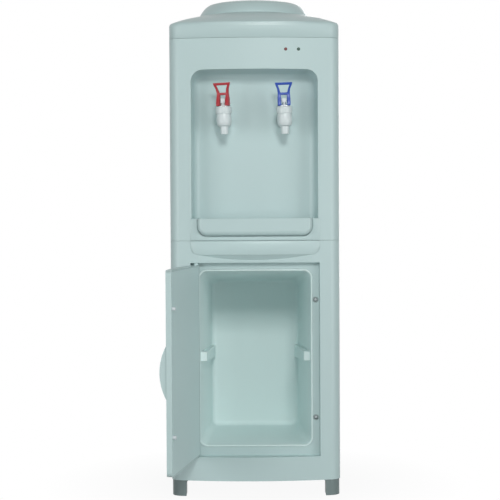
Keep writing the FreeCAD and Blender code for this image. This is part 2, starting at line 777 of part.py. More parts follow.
def bay_form(grow):
    """Drafted and rounded space of the dispensing bay, or its outer shell."""
    front_y = FRONT_Y - TRAY_PROUD
    back_y = BAY_BACK_Y + grow
    form = frustum((front_y, BAY_HALF + grow, TRAY_TOP_Z, BAY_TOP_Z + grow),
                   (back_y, BAY_HALF - BAY_DRAFT + grow, TRAY_TOP_Z, BAY_TOP_Z - BAY_DRAFT + grow))
    if grow:
        return form
    crown = [
        edge for edge in form.Edges
        if edge.BoundBox.YLength > BAY_DEPTH and edge.BoundBox.ZMax > BAY_TOP_Z - BAY_DRAFT
    ]
    form = form.makeFillet(BAY_CORNER, crown)
    rounded = [
        edge for edge in form.Edges
        if edge.BoundBox.YMin > back_y - PICK and edge.BoundBox.ZMax > TRAY_TOP_Z + OVERCUT
    ]
    return form.makeFillet(BAY_FILLET, rounded)


def tray_well(grow):
    """Space that the drip tray slides into, or its outer shell."""
    half = TRAY_WIDTH / 2 + TRAY_CLEARANCE + grow
    return trough_prism(FRONT_Y - 1, BAY_BACK_Y + grow, half, TRAY_Z0 - TRAY_CLEARANCE - grow,
                        TRAY_TOP_Z + 1, TRAY_CORNER + TRAY_CLEARANCE + grow)


def lamp_board_y():
    """Front face of the lamp board, on the lamps' rear ends."""
    return bow_y(HOT_LAMP_X) + LAMP_LENGTH - LAMP_PROUD


def lamp_posts():
    """Posts behind the upper front that carry the lamp board."""
    posts = []
    reach = LAMP_BOARD_MARGIN - LAMP_POST_INSET
    for x in (HOT_LAMP_X - reach, COLD_LAMP_X + reach):
        start = bow_y(x) + SHELL / 2
        posts.append(rod(V(x, start, LAMP_Z), Y_AXIS, LAMP_POST_RADIUS, lamp_board_y() - start))
    return posts


def make_upper_front():
    """Upper front: bowed wall, dispensing bay, tray well, tap holes, lamp holes and board posts."""
    z0 = PANEL_SEAM_Z + SEAM / 2
    z1 = COVER_Z - SEAM
    core = body_prism(z0, z1)
    wall = body_ring(z0, z1, SHELL).common(box(-FAR, FAR, -FAR, WRAP_Y, 0, FAR))
    bay = bay_form(SHELL).common(core)
    floor = core.common(box(-BAY_HALF - SHELL, BAY_HALF + SHELL, -FAR, BAY_BACK_Y + SHELL,
                            TRAY_TOP_Z - SHELL, TRAY_TOP_Z))
    well = tray_well(SHELL).common(core)
    panel = fused(wall, bay, floor, well, *lamp_posts())
    field = box(-BAY_HALF, BAY_HALF, -FAR, WRAP_Y, z0, TRAY_TOP_Z)
    tools = [bay_form(0), tray_well(0), front_layer(FIELD_STEP, field)]
    for x in (-TAP_X, TAP_X):
        tools.append(rod(V(x, BAY_BACK_Y - OVERCUT, TAP_Z), Y_AXIS, TAP_SHANK_RADIUS + FIT, FAR))
    for x in (HOT_LAMP_X, COLD_LAMP_X):
        start = FRONT_Y - OVERCUT
        tools.append(rod(V(x, start, LAMP_Z), Y_AXIS, LAMP_RADIUS + FIT / 2, lamp_board_y() - start))
        seat = bow_y(x) + SHELL - OVERCUT
        tools.append(rod(V(x, seat, LAMP_Z), Y_AXIS, LAMP_FLANGE_RADIUS + FIT / 2, lamp_board_y() - seat))
    return {"upper_front_panel": panel.cut(tools)}


def shoulder_form(inset):
    """Rounded shoulder of the cover with the shallow dome on it, or its inside."""
    top = COVER_EDGE_Z + SHOULDER_RADIUS - inset
    block = body_prism(COVER_Z, top, inset)
    rim = [edge for edge in block.Edges if edge.BoundBox.ZMin > top - PICK]
    block = block.makeFillet(SHOULDER_RADIUS - inset, rim)
    foot = HALF_WIDTH - SHOULDER_RADIUS - inset
    steps = []
    for step in range(DOME_STEPS + 1):
        share = step / DOME_STEPS
        steps.append((foot + (DECK_RADIUS - foot) * share, top - FIT + DOME_RISE * (1 - (1 - share) ** 2)))
    root = top - COVER_WALL
    dome = turned([(0, root), (foot, root)] + steps + [(0, steps[-1][1])], V(0, 0, 0))
    return block.fuse(dome)


def collar_profile(wall):
    """Section of the bottle collar as radius and height points, its rolled rim in short chords."""
    top = COLLAR_TOP_Z - wall
    bore = COLLAR_BORE + wall
    crest = COLLAR_TOP_RADIUS - wall - COLLAR_ROLL
    low = LEDGE_TOP_Z - COLLAR_LEDGE
    outside = []
    inside = []
    for step in range(COLLAR_CHORDS + 1):
        turn = math.pi / 2 * step / COLLAR_CHORDS
        outside.append((crest + COLLAR_ROLL * math.cos(turn), top - COLLAR_ROLL * (1 - math.sin(turn))))
        inside.append((crest - (crest - bore) * math.sin(turn), top - COLLAR_DIP * (1 - math.cos(turn))))
    return [(bore, low), (COLLAR_BASE_RADIUS - wall, low)] + outside + inside[1:]


def make_top_cover():
    """Top cover: band, swelling shoulder, tilted deck, bottle collar, seat ledge and locating skirt."""
    shell = shoulder_form(0).cut(shoulder_form(COVER_WALL))
    centre = V(0, 0, 0)
    collar = turned(collar_profile(0), centre)
    well = rod(V(0, 0, LEDGE_TOP_Z - COLLAR_LEDGE), Z_AXIS, COLLAR_BORE, FAR)
    ledge = tube(V(0, 0, LEDGE_TOP_Z - COLLAR_LEDGE), Z_AXIS, COLLAR_BORE + SHELL,
                 COLLAR_BORE - COLLAR_LEDGE_WIDTH, COLLAR_LEDGE)
    skirt = body_ring(COVER_Z - SKIRT_DROP, COVER_Z + SKIRT_ROOT, SKIRT_WALL, SHELL + FIT)
    root = body_ring(COVER_Z, COVER_Z + SKIRT_ROOT, COVER_WALL, COVER_WALL / 2)
    hollow = turned(collar_profile(COVER_WALL), centre)
    cover = fused(shell.cut(well), collar.cut(hollow), ledge, skirt, root)
    return {"top_cover": cover}


def make_bottle_seat():
    """Dished seat that holds the bottle's shoulder, with the neck tube that feeds the cold tank."""
    outer = COLLAR_BORE - FIT
    inner = outer - SEAT_WALL
    rim = COLLAR_TOP_Z - SEAT_RIM_DROP
    neck = NECK_BORE + SEAT_WALL
    dish = rim - SEAT_CONE_DROP
    profile = [
        (outer, LEDGE_TOP_Z), (outer, rim), (inner, rim), (inner, rim - SEAT_WALL),
        (NECK_BORE + SEAT_WALL, dish), (NECK_BORE, dish - SEAT_WALL), (NECK_BORE, dish - NECK_LENGTH),
        (neck, dish - NECK_LENGTH), (neck, dish - 2 * SEAT_WALL), (inner, rim - 3 * SEAT_WALL),
        (inner, LEDGE_TOP_Z),
    ]
    return {"bottle_seat": turned(profile, V(0, 0, 0))}


def cabinet_form(grow):
    """Drafted inside of the cabinet, or the liner's outside."""
    back_y = LIP_Y + CABINET_DEPTH + grow
    half = CABINET_WIDTH / 2 + grow
    low = CABINET_BOTTOM_Z - grow
    high = CABINET_TOP_Z + grow
    back = (back_y, half - CABINET_SIDE_DRAFT, low, high - CABINET_TOP_DRAFT)
    form = frustum((LIP_Y, half, low, high), back)
    long = [edge for edge in form.Edges if edge.BoundBox.YLength > CABINET_DEPTH / 2]
    form = form.makeFillet(CABINET_CORNER + grow, long)
    if grow:
        return form
    rear = [edge for edge in form.Edges if edge.BoundBox.YMin > back_y - PICK]
    return form.makeFillet(CABINET_FILLET, rear)


def rail_form():
    """Wedge-shaped shelf rail on the right wall of the cabinet."""
    front_y = LIP_Y + RAIL_SETBACK
    back_y = LIP_Y + CABINET_DEPTH
    slope = CABINET_SIDE_DRAFT / CABINET_DEPTH
    front_wall = CABINET_WIDTH / 2 - slope * RAIL_SETBACK
    back_wall = CABINET_WIDTH / 2 - CABINET_SIDE_DRAFT
    sections = []
    for y, wall, reach, top, height in (
            (front_y, front_wall, RAIL_FRONT_REACH, RAIL_TOP_Z, RAIL_FRONT_HEIGHT),
            (back_y, back_wall, RAIL_BACK_REACH, RAIL_TOP_Z - RAIL_FALL, RAIL_BACK_HEIGHT)):
        outer = wall + LINER_WALL / 2
        tip = wall - reach
        corners = [V(tip, y, top), V(outer, y, top), V(outer, y, top - height), V(tip, y, top - height)]
        sections.append(Part.makePolygon(corners + corners[:1]))
    return Part.makeLoft(sections, True, True)


def make_cabinet_liner():
    """Moulded tub of the storage cabinet with a lip, a rear flange and two shelf rails."""
    outside = cabinet_form(LINER_WALL)
    flange_y = POCKET_Y + SHELL
    rim = LINER_WALL + LINER_LIP_EXTRA
    lip = window_prism(LIP_Y, flange_y, CABINET_WIDTH / 2 + rim,
                       CABINET_BOTTOM_Z - rim, CABINET_TOP_Z + rim, CABINET_CORNER + rim)
    flange = window_prism(flange_y, flange_y + LINER_WALL, CABINET_WIDTH / 2 + LINER_FLANGE,
                          CABINET_BOTTOM_Z - LINER_FLANGE, CABINET_TOP_Z + LINER_FLANGE,
                          CABINET_CORNER + LINER_FLANGE)
    for z in (PEG_TOP_Z, PEG_BOTTOM_Z):
        hole = rod(V(PEG_X, flange_y - OVERCUT, z), Y_AXIS, socket_radius() + FIT, LINER_WALL + 2 * OVERCUT)
        flange = flange.cut(hole)
    tub = fused(lip, outside, flange).cut(cabinet_form(0))
    mouth = [edge for edge in tub.Edges if edge.BoundBox.YMax < LIP_Y + PICK]
    tub = tub.makeChamfer(LINER_LIP_ROUND, mouth)
    rail = rail_form()
    return {"cabinet_liner": fused(tub, rail, mirrored(rail))}


# Door


def grip_segment(proud, x0, x1):
    """Half-moon segment that stands out of the door's bowed face."""
    half = GRIP_HEIGHT / 2
    root = bow_y(x1 - DOOR_WALL)
    crown = bow_y(x1) - proud
    moon = [
        arc(V(x0, root, GRIP_Z - half), V(x0, crown, GRIP_Z), V(x0, root, GRIP_Z + half)),
        line(V(x0, root, GRIP_Z + half), V(x0, root, GRIP_Z - half)),
    ]
    return prism(moon, V(x1 - x0, 0, 0))


def door_grip():
    """Half-moon finger grip at the free edge, hollow towards the hinge."""
    x1 = DOOR_FREE_X - GRIP_EDGE
    x0 = x1 - GRIP_WIDTH
    return grip_segment(GRIP_PROUD, x0, x1).cut(grip_segment(GRIP_PROUD - GRIP_WALL, x0, x1 - GRIP_WALL))


def door_block():
    """Door's full form: bowed face, flat inner side, half-round hinge end and rounded free corners."""
    z = DOOR_Z0
    hinge_front = V(HINGE_X, bow_y(HINGE_X), z)
    hinge_back = V(HINGE_X, DOOR_INNER_Y, z)
    free_front = V(DOOR_FREE_X, bow_y(DOOR_FREE_X), z)
    free_back = V(DOOR_FREE_X, DOOR_INNER_Y, z)
    plan = [
        arc(hinge_front, V(0, FRONT_Y, z), free_front),
        line(free_front, free_back),
        line(free_back, hinge_back),
        arc(hinge_back, V(HINGE_X - HINGE_END_RADIUS, HINGE_Y, z), hinge_front),
    ]
    block = prism(plan, V(0, 0, DOOR_Z1 - DOOR_Z0))
    outline = window_prism(-FAR, FAR, BODY_WIDTH, DOOR_Z0, DOOR_Z1, DOOR_CORNER)
    outline.translate(V(DOOR_FREE_X - BODY_WIDTH, 0, 0))
    return block.common(outline)


def door_hollow(inset):
    """Space behind the door's bowed skin."""
    space = body_prism(DOOR_Z0 + inset, DOOR_Z1 - inset, inset)
    return space.common(box(HINGE_X + HINGE_END_RADIUS, DOOR_FREE_X - inset, -FAR, FAR, 0, FAR))


def door_ribs():
    """Level ribs inside the door skin that back the inner panel."""
    step = (DOOR_Z1 - DOOR_Z0) / (DOOR_RIB_COUNT + 1)
    inside = door_hollow(DOOR_WALL / 2)
    back = DOOR_INNER_Y - DOOR_INNER_SHEET
    ribs = []
    for count in range(1, DOOR_RIB_COUNT + 1):
        z = DOOR_Z0 + step * count
        ribs.append(inside.common(box(-FAR, FAR, -FAR, back, z - DOOR_RIB / 2, z + DOOR_RIB / 2)))
    return ribs


def make_door():
    """Door skin with its rim, ribs, grip and hinge lugs, inner panel, catch pegs and hinge pins."""
    skin = door_block().cut(door_hollow(DOOR_WALL))
    lugs = []
    for start, end in ((DOOR_Z1 - OVERCUT, POCKET_TOP_Z - SEAM), (POCKET_BOTTOM_Z + SEAM, DOOR_Z0 + OVERCUT)):
        lugs.append(rod(V(HINGE_X, HINGE_Y, start), Z_AXIS, HINGE_LUG_RADIUS, end - start))
    skin = fused(skin, door_grip(), *lugs, *door_ribs())
    pins = []
    for start, end in ((POCKET_BOTTOM_Z - SHELL, DOOR_Z0 + HINGE_PIN_GRIP),
                       (DOOR_Z1 - HINGE_PIN_GRIP, POCKET_TOP_Z + SHELL)):
        pins.append(rod(V(HINGE_X, HINGE_Y, start), Z_AXIS, HINGE_PIN_RADIUS, end - start))
    skin = skin.cut(pins)
    edge = DOOR_WALL + FIT / 2
    sheet = box(HINGE_X + HINGE_END_RADIUS + FIT / 2, DOOR_FREE_X - edge,
                DOOR_INNER_Y - DOOR_INNER_SHEET, DOOR_INNER_Y, DOOR_Z0 + edge, DOOR_Z1 - edge)
    pegs = []
    for z in (PEG_TOP_Z, PEG_BOTTOM_Z):
        shank = rod(V(PEG_X, DOOR_INNER_Y - DOOR_INNER_SHEET, z), Y_AXIS, PEG_RADIUS / 2, DOOR_INNER_SHEET)
        head = rod(V(PEG_X, DOOR_INNER_Y, z), Y_AXIS, PEG_RADIUS, PEG_HEIGHT)
        tip = [edge for edge in head.Edges if edge.BoundBox.YMin > DOOR_INNER_Y + PEG_HEIGHT - PICK]
        head = head.makeChamfer(PEG_RADIUS / 3, tip)
        pegs.append(fused(head, shank))
        sheet = sheet.cut(shank)
    return {
        "door_skin": hinge_turn(skin),
        "door_inner_panel": hinge_turn(sheet),
        "door_pegs": hinge_turn(Part.makeCompound(pegs)),
        "door_hinge_pins": hinge_turn(Part.makeCompound(pins)),
    }


def socket_radius():
    """Outside of the catch socket that takes a door peg."""
    return PEG_RADIUS + SOCKET_CLEARANCE + SOCKET_WALL


def make_catch_sockets():
    """Snap sockets in the door pocket, one for each door peg."""
    bore = PEG_RADIUS + SOCKET_CLEARANCE
    rim = socket_radius() + SOCKET_RIM
    rim_y = POCKET_Y - SOCKET_RIM
    sockets = []
    for z in (PEG_TOP_Z, PEG_BOTTOM_Z):
        cup = rod(V(PEG_X, POCKET_Y, z), Y_AXIS, socket_radius(), SOCKET_DEPTH)
        flange = rod(V(PEG_X, rim_y, z), Y_AXIS, rim, SOCKET_RIM)
        hole = rod(V(PEG_X, rim_y, z), Y_AXIS, bore, SOCKET_RIM + SOCKET_DEPTH - SOCKET_WALL)
        sockets.append(fused(cup, flange).cut(hole))
    return {"catch_sockets": Part.makeCompound(sockets)}


# Drip tray


def tray_outside():
    """Tray's outer form: a trough with a bowed front and a deep rounding towards its underside."""
    half = TRAY_WIDTH / 2
    front_y = FRONT_Y - TRAY_PROUD
    trough = trough_prism(front_y - OVERCUT, TRAY_BACK_Y, half, TRAY_Z0, TRAY_TOP_Z, TRAY_CORNER)
    bow = prism(plan_edges(TRAY_Z0, HALF_WIDTH, front_y, BACK_Y, BOW_RADIUS, CORNER_RADIUS, REAR_RADIUS),
                V(0, 0, TRAY_HEIGHT))
    form = trough.common(bow)
    front = [
        edge for edge in form.Edges
        if edge.BoundBox.YMax < FRONT_Y and edge.BoundBox.ZMin < TRAY_TOP_Z - OVERCUT
    ]
    return form.makeFillet(TRAY_ROUND, front)


def tray_inside(ledge, z0):
    """Hollow of the tray above z0, drawn in by a ledge."""
    wall = TRAY_WALL + ledge
    front_y = FRONT_Y - TRAY_PROUD + wall
    half = TRAY_WIDTH / 2 - wall
    bow = prism(plan_edges(z0, HALF_WIDTH, front_y, BACK_Y, BOW_RADIUS, CORNER_RADIUS, REAR_RADIUS),
                V(0, 0, TRAY_TOP_Z + OVERCUT - z0))
    trough = trough_prism(FRONT_Y - TRAY_PROUD - OVERCUT, TRAY_BACK_Y - wall, half,
                          TRAY_Z0 + TRAY_WALL, TRAY_TOP_Z + OVERCUT, TRAY_CORNER - TRAY_WALL)
    return trough.common(bow)


def make_drip_tray():
    """Pull-out drip tray and the slotted grille that lies on its ledge."""
    ledge_z = GRILLE_TOP_Z - GRILLE_THICKNESS
    upper = tray_inside(0, ledge_z)
    tray = tray_outside().cut([upper, tray_inside(TRAY_LEDGE, TRAY_Z0)])
    wall = TRAY_WALL + GRILLE_FIT
    front_y = FRONT_Y - TRAY_PROUD + wall
    half = TRAY_WIDTH / 2 - wall
    plate = prism(plan_edges(ledge_z, HALF_WIDTH, front_y, BACK_Y, BOW_RADIUS, CORNER_RADIUS, REAR_RADIUS),
                  V(0, 0, GRILLE_THICKNESS))
    plate = plate.common(box(-half, half, -FAR, TRAY_BACK_Y - wall, ledge_z, GRILLE_TOP_Z))
    border = half - GRILLE_BORDER
    count = int(2 * border / GRILLE_PITCH)
    middle = (front_y + TRAY_BACK_Y - wall) / 2
    slots = []
    for step in range(count + 1):
        x = (step - count / 2) * GRILLE_PITCH
        front_end = bow_y(x) - TRAY_PROUD + wall + GRILLE_BORDER
        for y0, y1 in ((front_end, middle - GRILLE_BRIDGE / 2),
                       (middle + GRILLE_BRIDGE / 2, TRAY_BACK_Y - wall - GRILLE_BORDER)):
            slots.append(box(x - GRILLE_SLOT / 2, x + GRILLE_SLOT / 2, y0, y1, TRAY_Z0, TRAY_TOP_Z))
    return {"drip_tray": tray, "drip_grille": plate.cut(slots)}


# Lamps


def make_lamps():
    """Two indicator lamps with domed fronts and the board behind them."""
    nodes = {}
    board_y = lamp_board_y()
    for name, x in (("hot_lamp", HOT_LAMP_X), ("cold_lamp", COLD_LAMP_X)):
        front = bow_y(x) - LAMP_PROUD
        lens = rod(V(x, front, LAMP_Z), Y_AXIS, LAMP_RADIUS, board_y - front)
        rim = [edge for edge in lens.Edges if edge.BoundBox.YMax < front + PICK]
        lens = lens.makeChamfer(LAMP_ROUND, rim)
        flange = rod(V(x, board_y - LAMP_FLANGE, LAMP_Z), Y_AXIS, LAMP_FLANGE_RADIUS, LAMP_FLANGE)
        nodes[name] = fused(lens, flange)
    half = LAMP_BOARD_HEIGHT / 2
    nodes["lamp_board"] = box(HOT_LAMP_X - LAMP_BOARD_MARGIN, COLD_LAMP_X + LAMP_BOARD_MARGIN,
                              board_y, board_y + BOARD_SHEET, LAMP_Z - half, LAMP_Z + half)
    return nodes


# Taps


def place_tap(shape, x):
    """A tap piece set in the bay, leaning a little about its inlet."""
    placed = shape.rotated(V(0, 0, 0), Y_AXIS, -TAP_LEAN)
    placed.translate(V(x, TAP_Y, TAP_Z))
    return placed


def tap_body():
    """Tap body: bulbous chamber, threaded neck, nozzle, flange, shank and hose spigot, all bored."""
    bulge = TAP_BODY_RADIUS
    shoulder = TAP_TOP_RADIUS
    lower = [(bulge * across, -TAP_BOTTOM * down) for across, down in TAP_BULB]
    upper = [((bulge + shoulder) / 2, TAP_TOP * TAP_SHOULDER), (shoulder, TAP_TOP)]
    bulb = turned([(0, -TAP_BOTTOM)] + lower + upper + [(0, TAP_TOP)], V(0, 0, 0))
    neck = rod(V(0, 0, 0), Z_AXIS, TAP_NECK_RADIUS, TAP_TOP + TAP_NECK_HEIGHT)
    nozzle_z = OVERCUT - TAP_BOTTOM - NOZZLE_LENGTH
    nozzle = Part.makeCone(NOZZLE_RADIUS, NOZZLE_RADIUS * NOZZLE_FLARE, NOZZLE_LENGTH, V(0, 0, nozzle_z))
    flange = rod(V(0, TAP_REACH - GASKET - TAP_FLANGE, 0), Y_AXIS, TAP_FLANGE_RADIUS, TAP_FLANGE)
    spigot_y = TAP_REACH + SHELL + TAP_SHANK_LENGTH
    shank = rod(V(0, 0, 0), Y_AXIS, TAP_SHANK_RADIUS, spigot_y)
    spigot = rod(V(0, spigot_y - OVERCUT, 0), Y_AXIS, SPIGOT_RADIUS, TAP_SPIGOT_LENGTH + OVERCUT)
    chamber = rod(V(0, 0, -TAP_CHAMBER_DEPTH), Z_AXIS, TAP_CHAMBER_RADIUS, FAR)
    outlet = rod(V(0, 0, -FAR), Z_AXIS, NOZZLE_BORE, FAR)
    inlet = rod(V(0, 0, 0), Y_AXIS, WATERWAY, FAR)
    return fused(bulb, neck, nozzle, flange, shank, spigot).cut([chamber, outlet, inlet])


def tap_cap():
    """Screw cap with a fluted side, a rounded crown and a hole for the stem."""
    cap = rod(V(0, 0, TAP_TOP), Z_AXIS, CAP_RADIUS, CAP_HEIGHT)
    cap = cap.makeChamfer(CAP_ROUND, [edge for edge in cap.Edges if edge.BoundBox.ZMin > CAP_TOP - PICK])
    foot = TAP_TOP - OVERCUT
    flutes = []
    for step in range(CAP_FLUTES):
        angle = 360.0 * step / CAP_FLUTES
        wide = 2 * CAP_FLUTE_RADIUS
        outer = CAP_RADIUS + OVERCUT
        corners = [V(CAP_RADIUS - CAP_FLUTE_RADIUS, 0, foot), V(outer, -wide, foot), V(outer, wide, foot)]
        flute = polygon_prism(corners, V(0, 0, CAP_HEIGHT - CAP_ROUND))
        flutes.append(flute.rotated(V(0, 0, 0), Z_AXIS, angle))
    inside = rod(V(0, 0, TAP_TOP), Z_AXIS, TAP_NECK_RADIUS + FIT, CAP_HEIGHT - CAP_ROOF)
    hole = rod(V(0, 0, TAP_TOP), Z_AXIS, STEM_RADIUS + STEM_CLEARANCE, FAR)
    return cap.cut(flutes + [inside, hole])


def tap_stem():
    """Stem: rod, conical skirt over the cap's hole and the flat head that carries the lever pin."""
    skirt_z = CAP_TOP + WASHER + LEVER_HEEL_GAP
    rod_z = CUP_HEIGHT - CUP_SOCKET - TAP_CHAMBER_DEPTH
    shaft = rod(V(0, 0, rod_z), Z_AXIS, STEM_RADIUS, PIN_Z - rod_z)
    skirt = Part.makeCone(STEM_SKIRT_RADIUS, STEM_RADIUS, STEM_SKIRT_HEIGHT, V(0, 0, skirt_z))
    head = box(-STEM_FLAT_WIDTH / 2, STEM_FLAT_WIDTH / 2, -STEM_FLAT_DEPTH / 2, STEM_FLAT_DEPTH / 2,
               skirt_z + STEM_SKIRT_HEIGHT, PIN_Z + LEVER_PIN_RADIUS * 2)
    head = head.makeFillet(STEM_HEAD_ROUND, [edge for edge in head.Edges if edge.BoundBox.ZMin > PIN_Z])
    return fused(shaft, skirt, head).cut(lever_pin())


def lever_pin():
    """Steel pin through the lever's feet and the stem."""
    half = LEVER_FOOT_WIDTH / 2 - LEVER_PIN_INSET
    return rod(V(-half, 0, PIN_Z), X_AXIS, LEVER_PIN_RADIUS, 2 * half)


def seat_cup():
    """Silicone cup on the stem's foot that closes the outlet."""
    z0 = CUP_SEAT_GAP - TAP_CHAMBER_DEPTH
    top = z0 + CUP_HEIGHT
    socket = top - CUP_SOCKET - CUP_SEAT_GAP
    waist = CUP_RADIUS * CUP_WAIST
    profile = [
        (0, z0), (CUP_RADIUS * CUP_FOOT, z0), (CUP_RADIUS, z0 + CUP_LIP), (waist, z0 + CUP_WAIST_RISE),
        (waist, top), (STEM_RADIUS, top), (STEM_RADIUS, socket), (0, socket),
    ]
    return turned(profile, V(0, 0, 0))


def lever_front():
    """Lever seen from the front: a flared frame with an upper window and an open lower fork."""
    top_z = HEEL_Z + LEVER_HEIGHT
    waist_z = HEEL_Z + LEVER_WAIST_HEIGHT
    top = LEVER_TOP_WIDTH / 2
    waist = LEVER_WAIST_WIDTH / 2
    foot = LEVER_FOOT_WIDTH / 2
    bend = V((top + waist) / 2 - LEVER_CURVE, 0, (top_z + waist_z) / 2 - LEVER_BAR)
    low = V(foot, 0, HEEL_Z)
    rise = [V(top, 0, top_z), V(top, 0, top_z - LEVER_BAR), V(waist, 0, waist_z), low]

    def flipped(point):
        return V(-point.x, 0, point.z)

    edges = [
        line(flipped(rise[0]), rise[0]),
        line(rise[0], rise[1]),
        arc(rise[1], bend, rise[2]),
        line(rise[2], rise[3]),
        line(rise[3], flipped(rise[3])),
        line(flipped(rise[3]), flipped(rise[2])),
        arc(flipped(rise[2]), flipped(bend), flipped(rise[1])),
        line(flipped(rise[1]), flipped(rise[0])),
    ]
    plate = prism(edges, V(0, FAR, 0))
    inner_top = V(top - LEVER_SIDE_BAR, 0, top_z - LEVER_BAR)
    inner_low = V(waist - LEVER_WAIST_BAR, 0, waist_z + LEVER_BAR / 2)
    middle = (inner_top + inner_low) / 2
    inner_bend = V(middle.x - LEVER_CURVE, 0, middle.z - LEVER_SAG)
    window = prism([
        line(flipped(inner_top), inner_top),
        arc(inner_top, inner_bend, inner_low),
        line(inner_low, flipped(inner_low)),
        arc(flipped(inner_low), flipped(inner_bend), flipped(inner_top)),
    ], V(0, FAR, 0))
    gap = STEM_FLAT_WIDTH / 2 + LEVER_FORK_GAP
    fork = box(-gap, gap, 0, FAR, HEEL_Z - OVERCUT, waist_z - LEVER_BAR / 2)
    blank = plate.cut([window, fork])
    blank.translate(V(0, -FAR / 2, 0))
    return blank


def lever_side():
    """Lever seen from the side: round knuckle at the pin, cam heel in front and a forward lean."""
    top_z = HEEL_Z + LEVER_HEIGHT
    waist_z = HEEL_Z + LEVER_WAIST_HEIGHT
    half = LEVER_DEPTH / 2
    back = half + LEVER_BACK
    points = [
        (-LEVER_HEEL, HEEL_Z), (back, HEEL_Z), (back, PIN_Z + LEVER_KNUCKLE_RISE), (half, waist_z),
        (half - LEVER_LEAN, top_z), (-half - LEVER_LEAN, top_z), (-half - LEVER_SWELL, waist_z),
        (-back - LEVER_SWELL / 2, PIN_Z), (-LEVER_HEEL, HEEL_Z + LEVER_NOSE),
    ]
    side = polygon_prism([V(0, y, z) for y, z in points], V(FAR, 0, 0))
    side.translate(V(-FAR / 2, 0, 0))
    return side


def tap_lever():
    """Lever frame with the running holes for its pin."""
    hole = rod(V(-FAR / 2, 0, PIN_Z), X_AXIS, LEVER_PIN_RADIUS + RUN_CLEARANCE, FAR)
    return lever_front().common(lever_side()).cut(hole)


def tap_gasket():
    """Silicone gasket between the tap's flange and the bay."""
    return tube(V(0, TAP_REACH - GASKET, 0), Y_AXIS, TAP_FLANGE_RADIUS, TAP_SHANK_RADIUS + FIT / 2, GASKET)


def tap_nut():
    """Hexagon nut behind the bay's wall."""
    corner = NUT_FLATS / math.sqrt(3)
    y = TAP_REACH + SHELL
    turns = [math.pi * step / 3 for step in range(6)]
    points = [V(corner * math.cos(turn), y, corner * math.sin(turn)) for turn in turns]
    thread = rod(V(0, 0, 0), Y_AXIS, TAP_SHANK_RADIUS + FIT / 3, FAR)
    return polygon_prism(points, V(0, NUT_THICKNESS, 0)).cut(thread)


def make_taps():
    """Both taps with their levers turned as they stand, and their shared small pieces."""
    nodes = {}
    for name, x, yaw in (("hot", -TAP_X, HOT_LEVER_YAW), ("cold", TAP_X, COLD_LEVER_YAW)):
        nodes[name + "_tap_body"] = place_tap(tap_body(), x)
        nodes[name + "_tap_cap"] = place_tap(tap_cap(), x)
        nodes[name + "_seat_cup"] = place_tap(seat_cup(), x)
        turning = {"tap_stem": tap_stem(), "lever_pin": lever_pin(), "tap_lever": tap_lever()}
        for piece, shape in turning.items():
            nodes[name + "_" + piece] = place_tap(shape.rotated(V(0, 0, 0), Z_AXIS, yaw), x)
    washer = tube(V(0, 0, CAP_TOP), Z_AXIS, WASHER_RADIUS, STEM_RADIUS + STEM_CLEARANCE, WASHER)
    for node, shape in (("tap_washers", washer), ("tap_gaskets", tap_gasket()), ("tap_nuts", tap_nut())):
        nodes[node] = Part.makeCompound([place_tap(shape, -TAP_X), place_tap(shape, TAP_X)])
    return nodes


# Cold side


def draw_pipe(radius, end):
    """Bent pipe that draws cold water from the tank's middle and brings it forward in line with the tap."""
    return bent_rod([V(0, 0, TAP_Z), V(TAP_X, 0, TAP_Z), V(TAP_X, end, TAP_Z)], PIPE_BEND, radius)


def make_cold_tank():
    """Open cold tank with a lip, a draw pipe and a feed spigot, in its foam jacket on a sheet bracket."""
    z0 = COLD_TANK_BOTTOM_Z
    pipe_end = SPIGOT_REACH - FOAM_RADIUS
    tank = rod(V(0, 0, z0), Z_AXIS, COLD_TANK_RADIUS, COLD_TANK_HEIGHT)
    lip = rod(V(0, 0, TANK_TOP_Z - TANK_WALL), Z_AXIS, COLD_TANK_RADIUS + TANK_LIP, TANK_WALL)
    tank = fused(tank, lip)
    tank = tank.cut(rod(V(0, 0, z0 + TANK_WALL), Z_AXIS, COLD_TANK_RADIUS - TANK_WALL, COLD_TANK_HEIGHT))
    reach = FOAM_FLOOR + SHEET + SPIGOT_REACH
    below = FEED + Z_AXIS * (z0 - reach)
    spigot = rod(below, Z_AXIS, SPIGOT_RADIUS, reach + TANK_WALL / 2)
    waterway = rod(below, Z_AXIS, WATERWAY, reach + TANK_WALL)
    tank = fused(tank, draw_pipe(SPIGOT_RADIUS, pipe_end), spigot)
    tank = tank.cut([draw_pipe(WATERWAY, pipe_end), waterway])
    foam = rod(V(0, 0, FOAM_Z0), Z_AXIS, FOAM_RADIUS, TANK_TOP_Z - FOAM_RIM_DROP - FOAM_Z0)
    half = COLD_BLOCK_SIZE / 2 + FIT
    low = FOAM_Z0 - BRACKET_FLANGE
    clear = HOSE_RADIUS + FIT
    hole = rod(FEED + Z_AXIS * low, Z_AXIS, clear, z0 - low)
    foam = foam.cut([
        rod(V(0, 0, z0), Z_AXIS, COLD_TANK_RADIUS + FIT, COLD_TANK_HEIGHT),
        box(-half, half, 0, FAR, COLD_AXIS_Z - half, COLD_AXIS_Z + half),
        box(-FAR, FAR, FOAM_RADIUS - FOAM_FLAT, FAR, 0, FAR),
        box(0, TAP_X, -clear, clear, TAP_Z - clear, TAP_Z + clear),
        box(TAP_X - clear, TAP_X + clear, -FAR, clear, TAP_Z - clear, TAP_Z + clear), hole,
    ])
    plate_half = HALF_WIDTH - SHEET
    plate = box(-plate_half, plate_half, -BRACKET_FRONT, BRACKET_FRONT, FOAM_Z0 - SHEET, FOAM_Z0)
    for x in (-plate_half, plate_half - SHEET):
        plate = plate.fuse(box(x, x + SHEET, -BRACKET_FRONT, BRACKET_FRONT, low, FOAM_Z0))
    return {"cold_tank": tank, "cold_tank_foam": foam, "tank_bracket": plate.cut(hole).removeSplitter()}


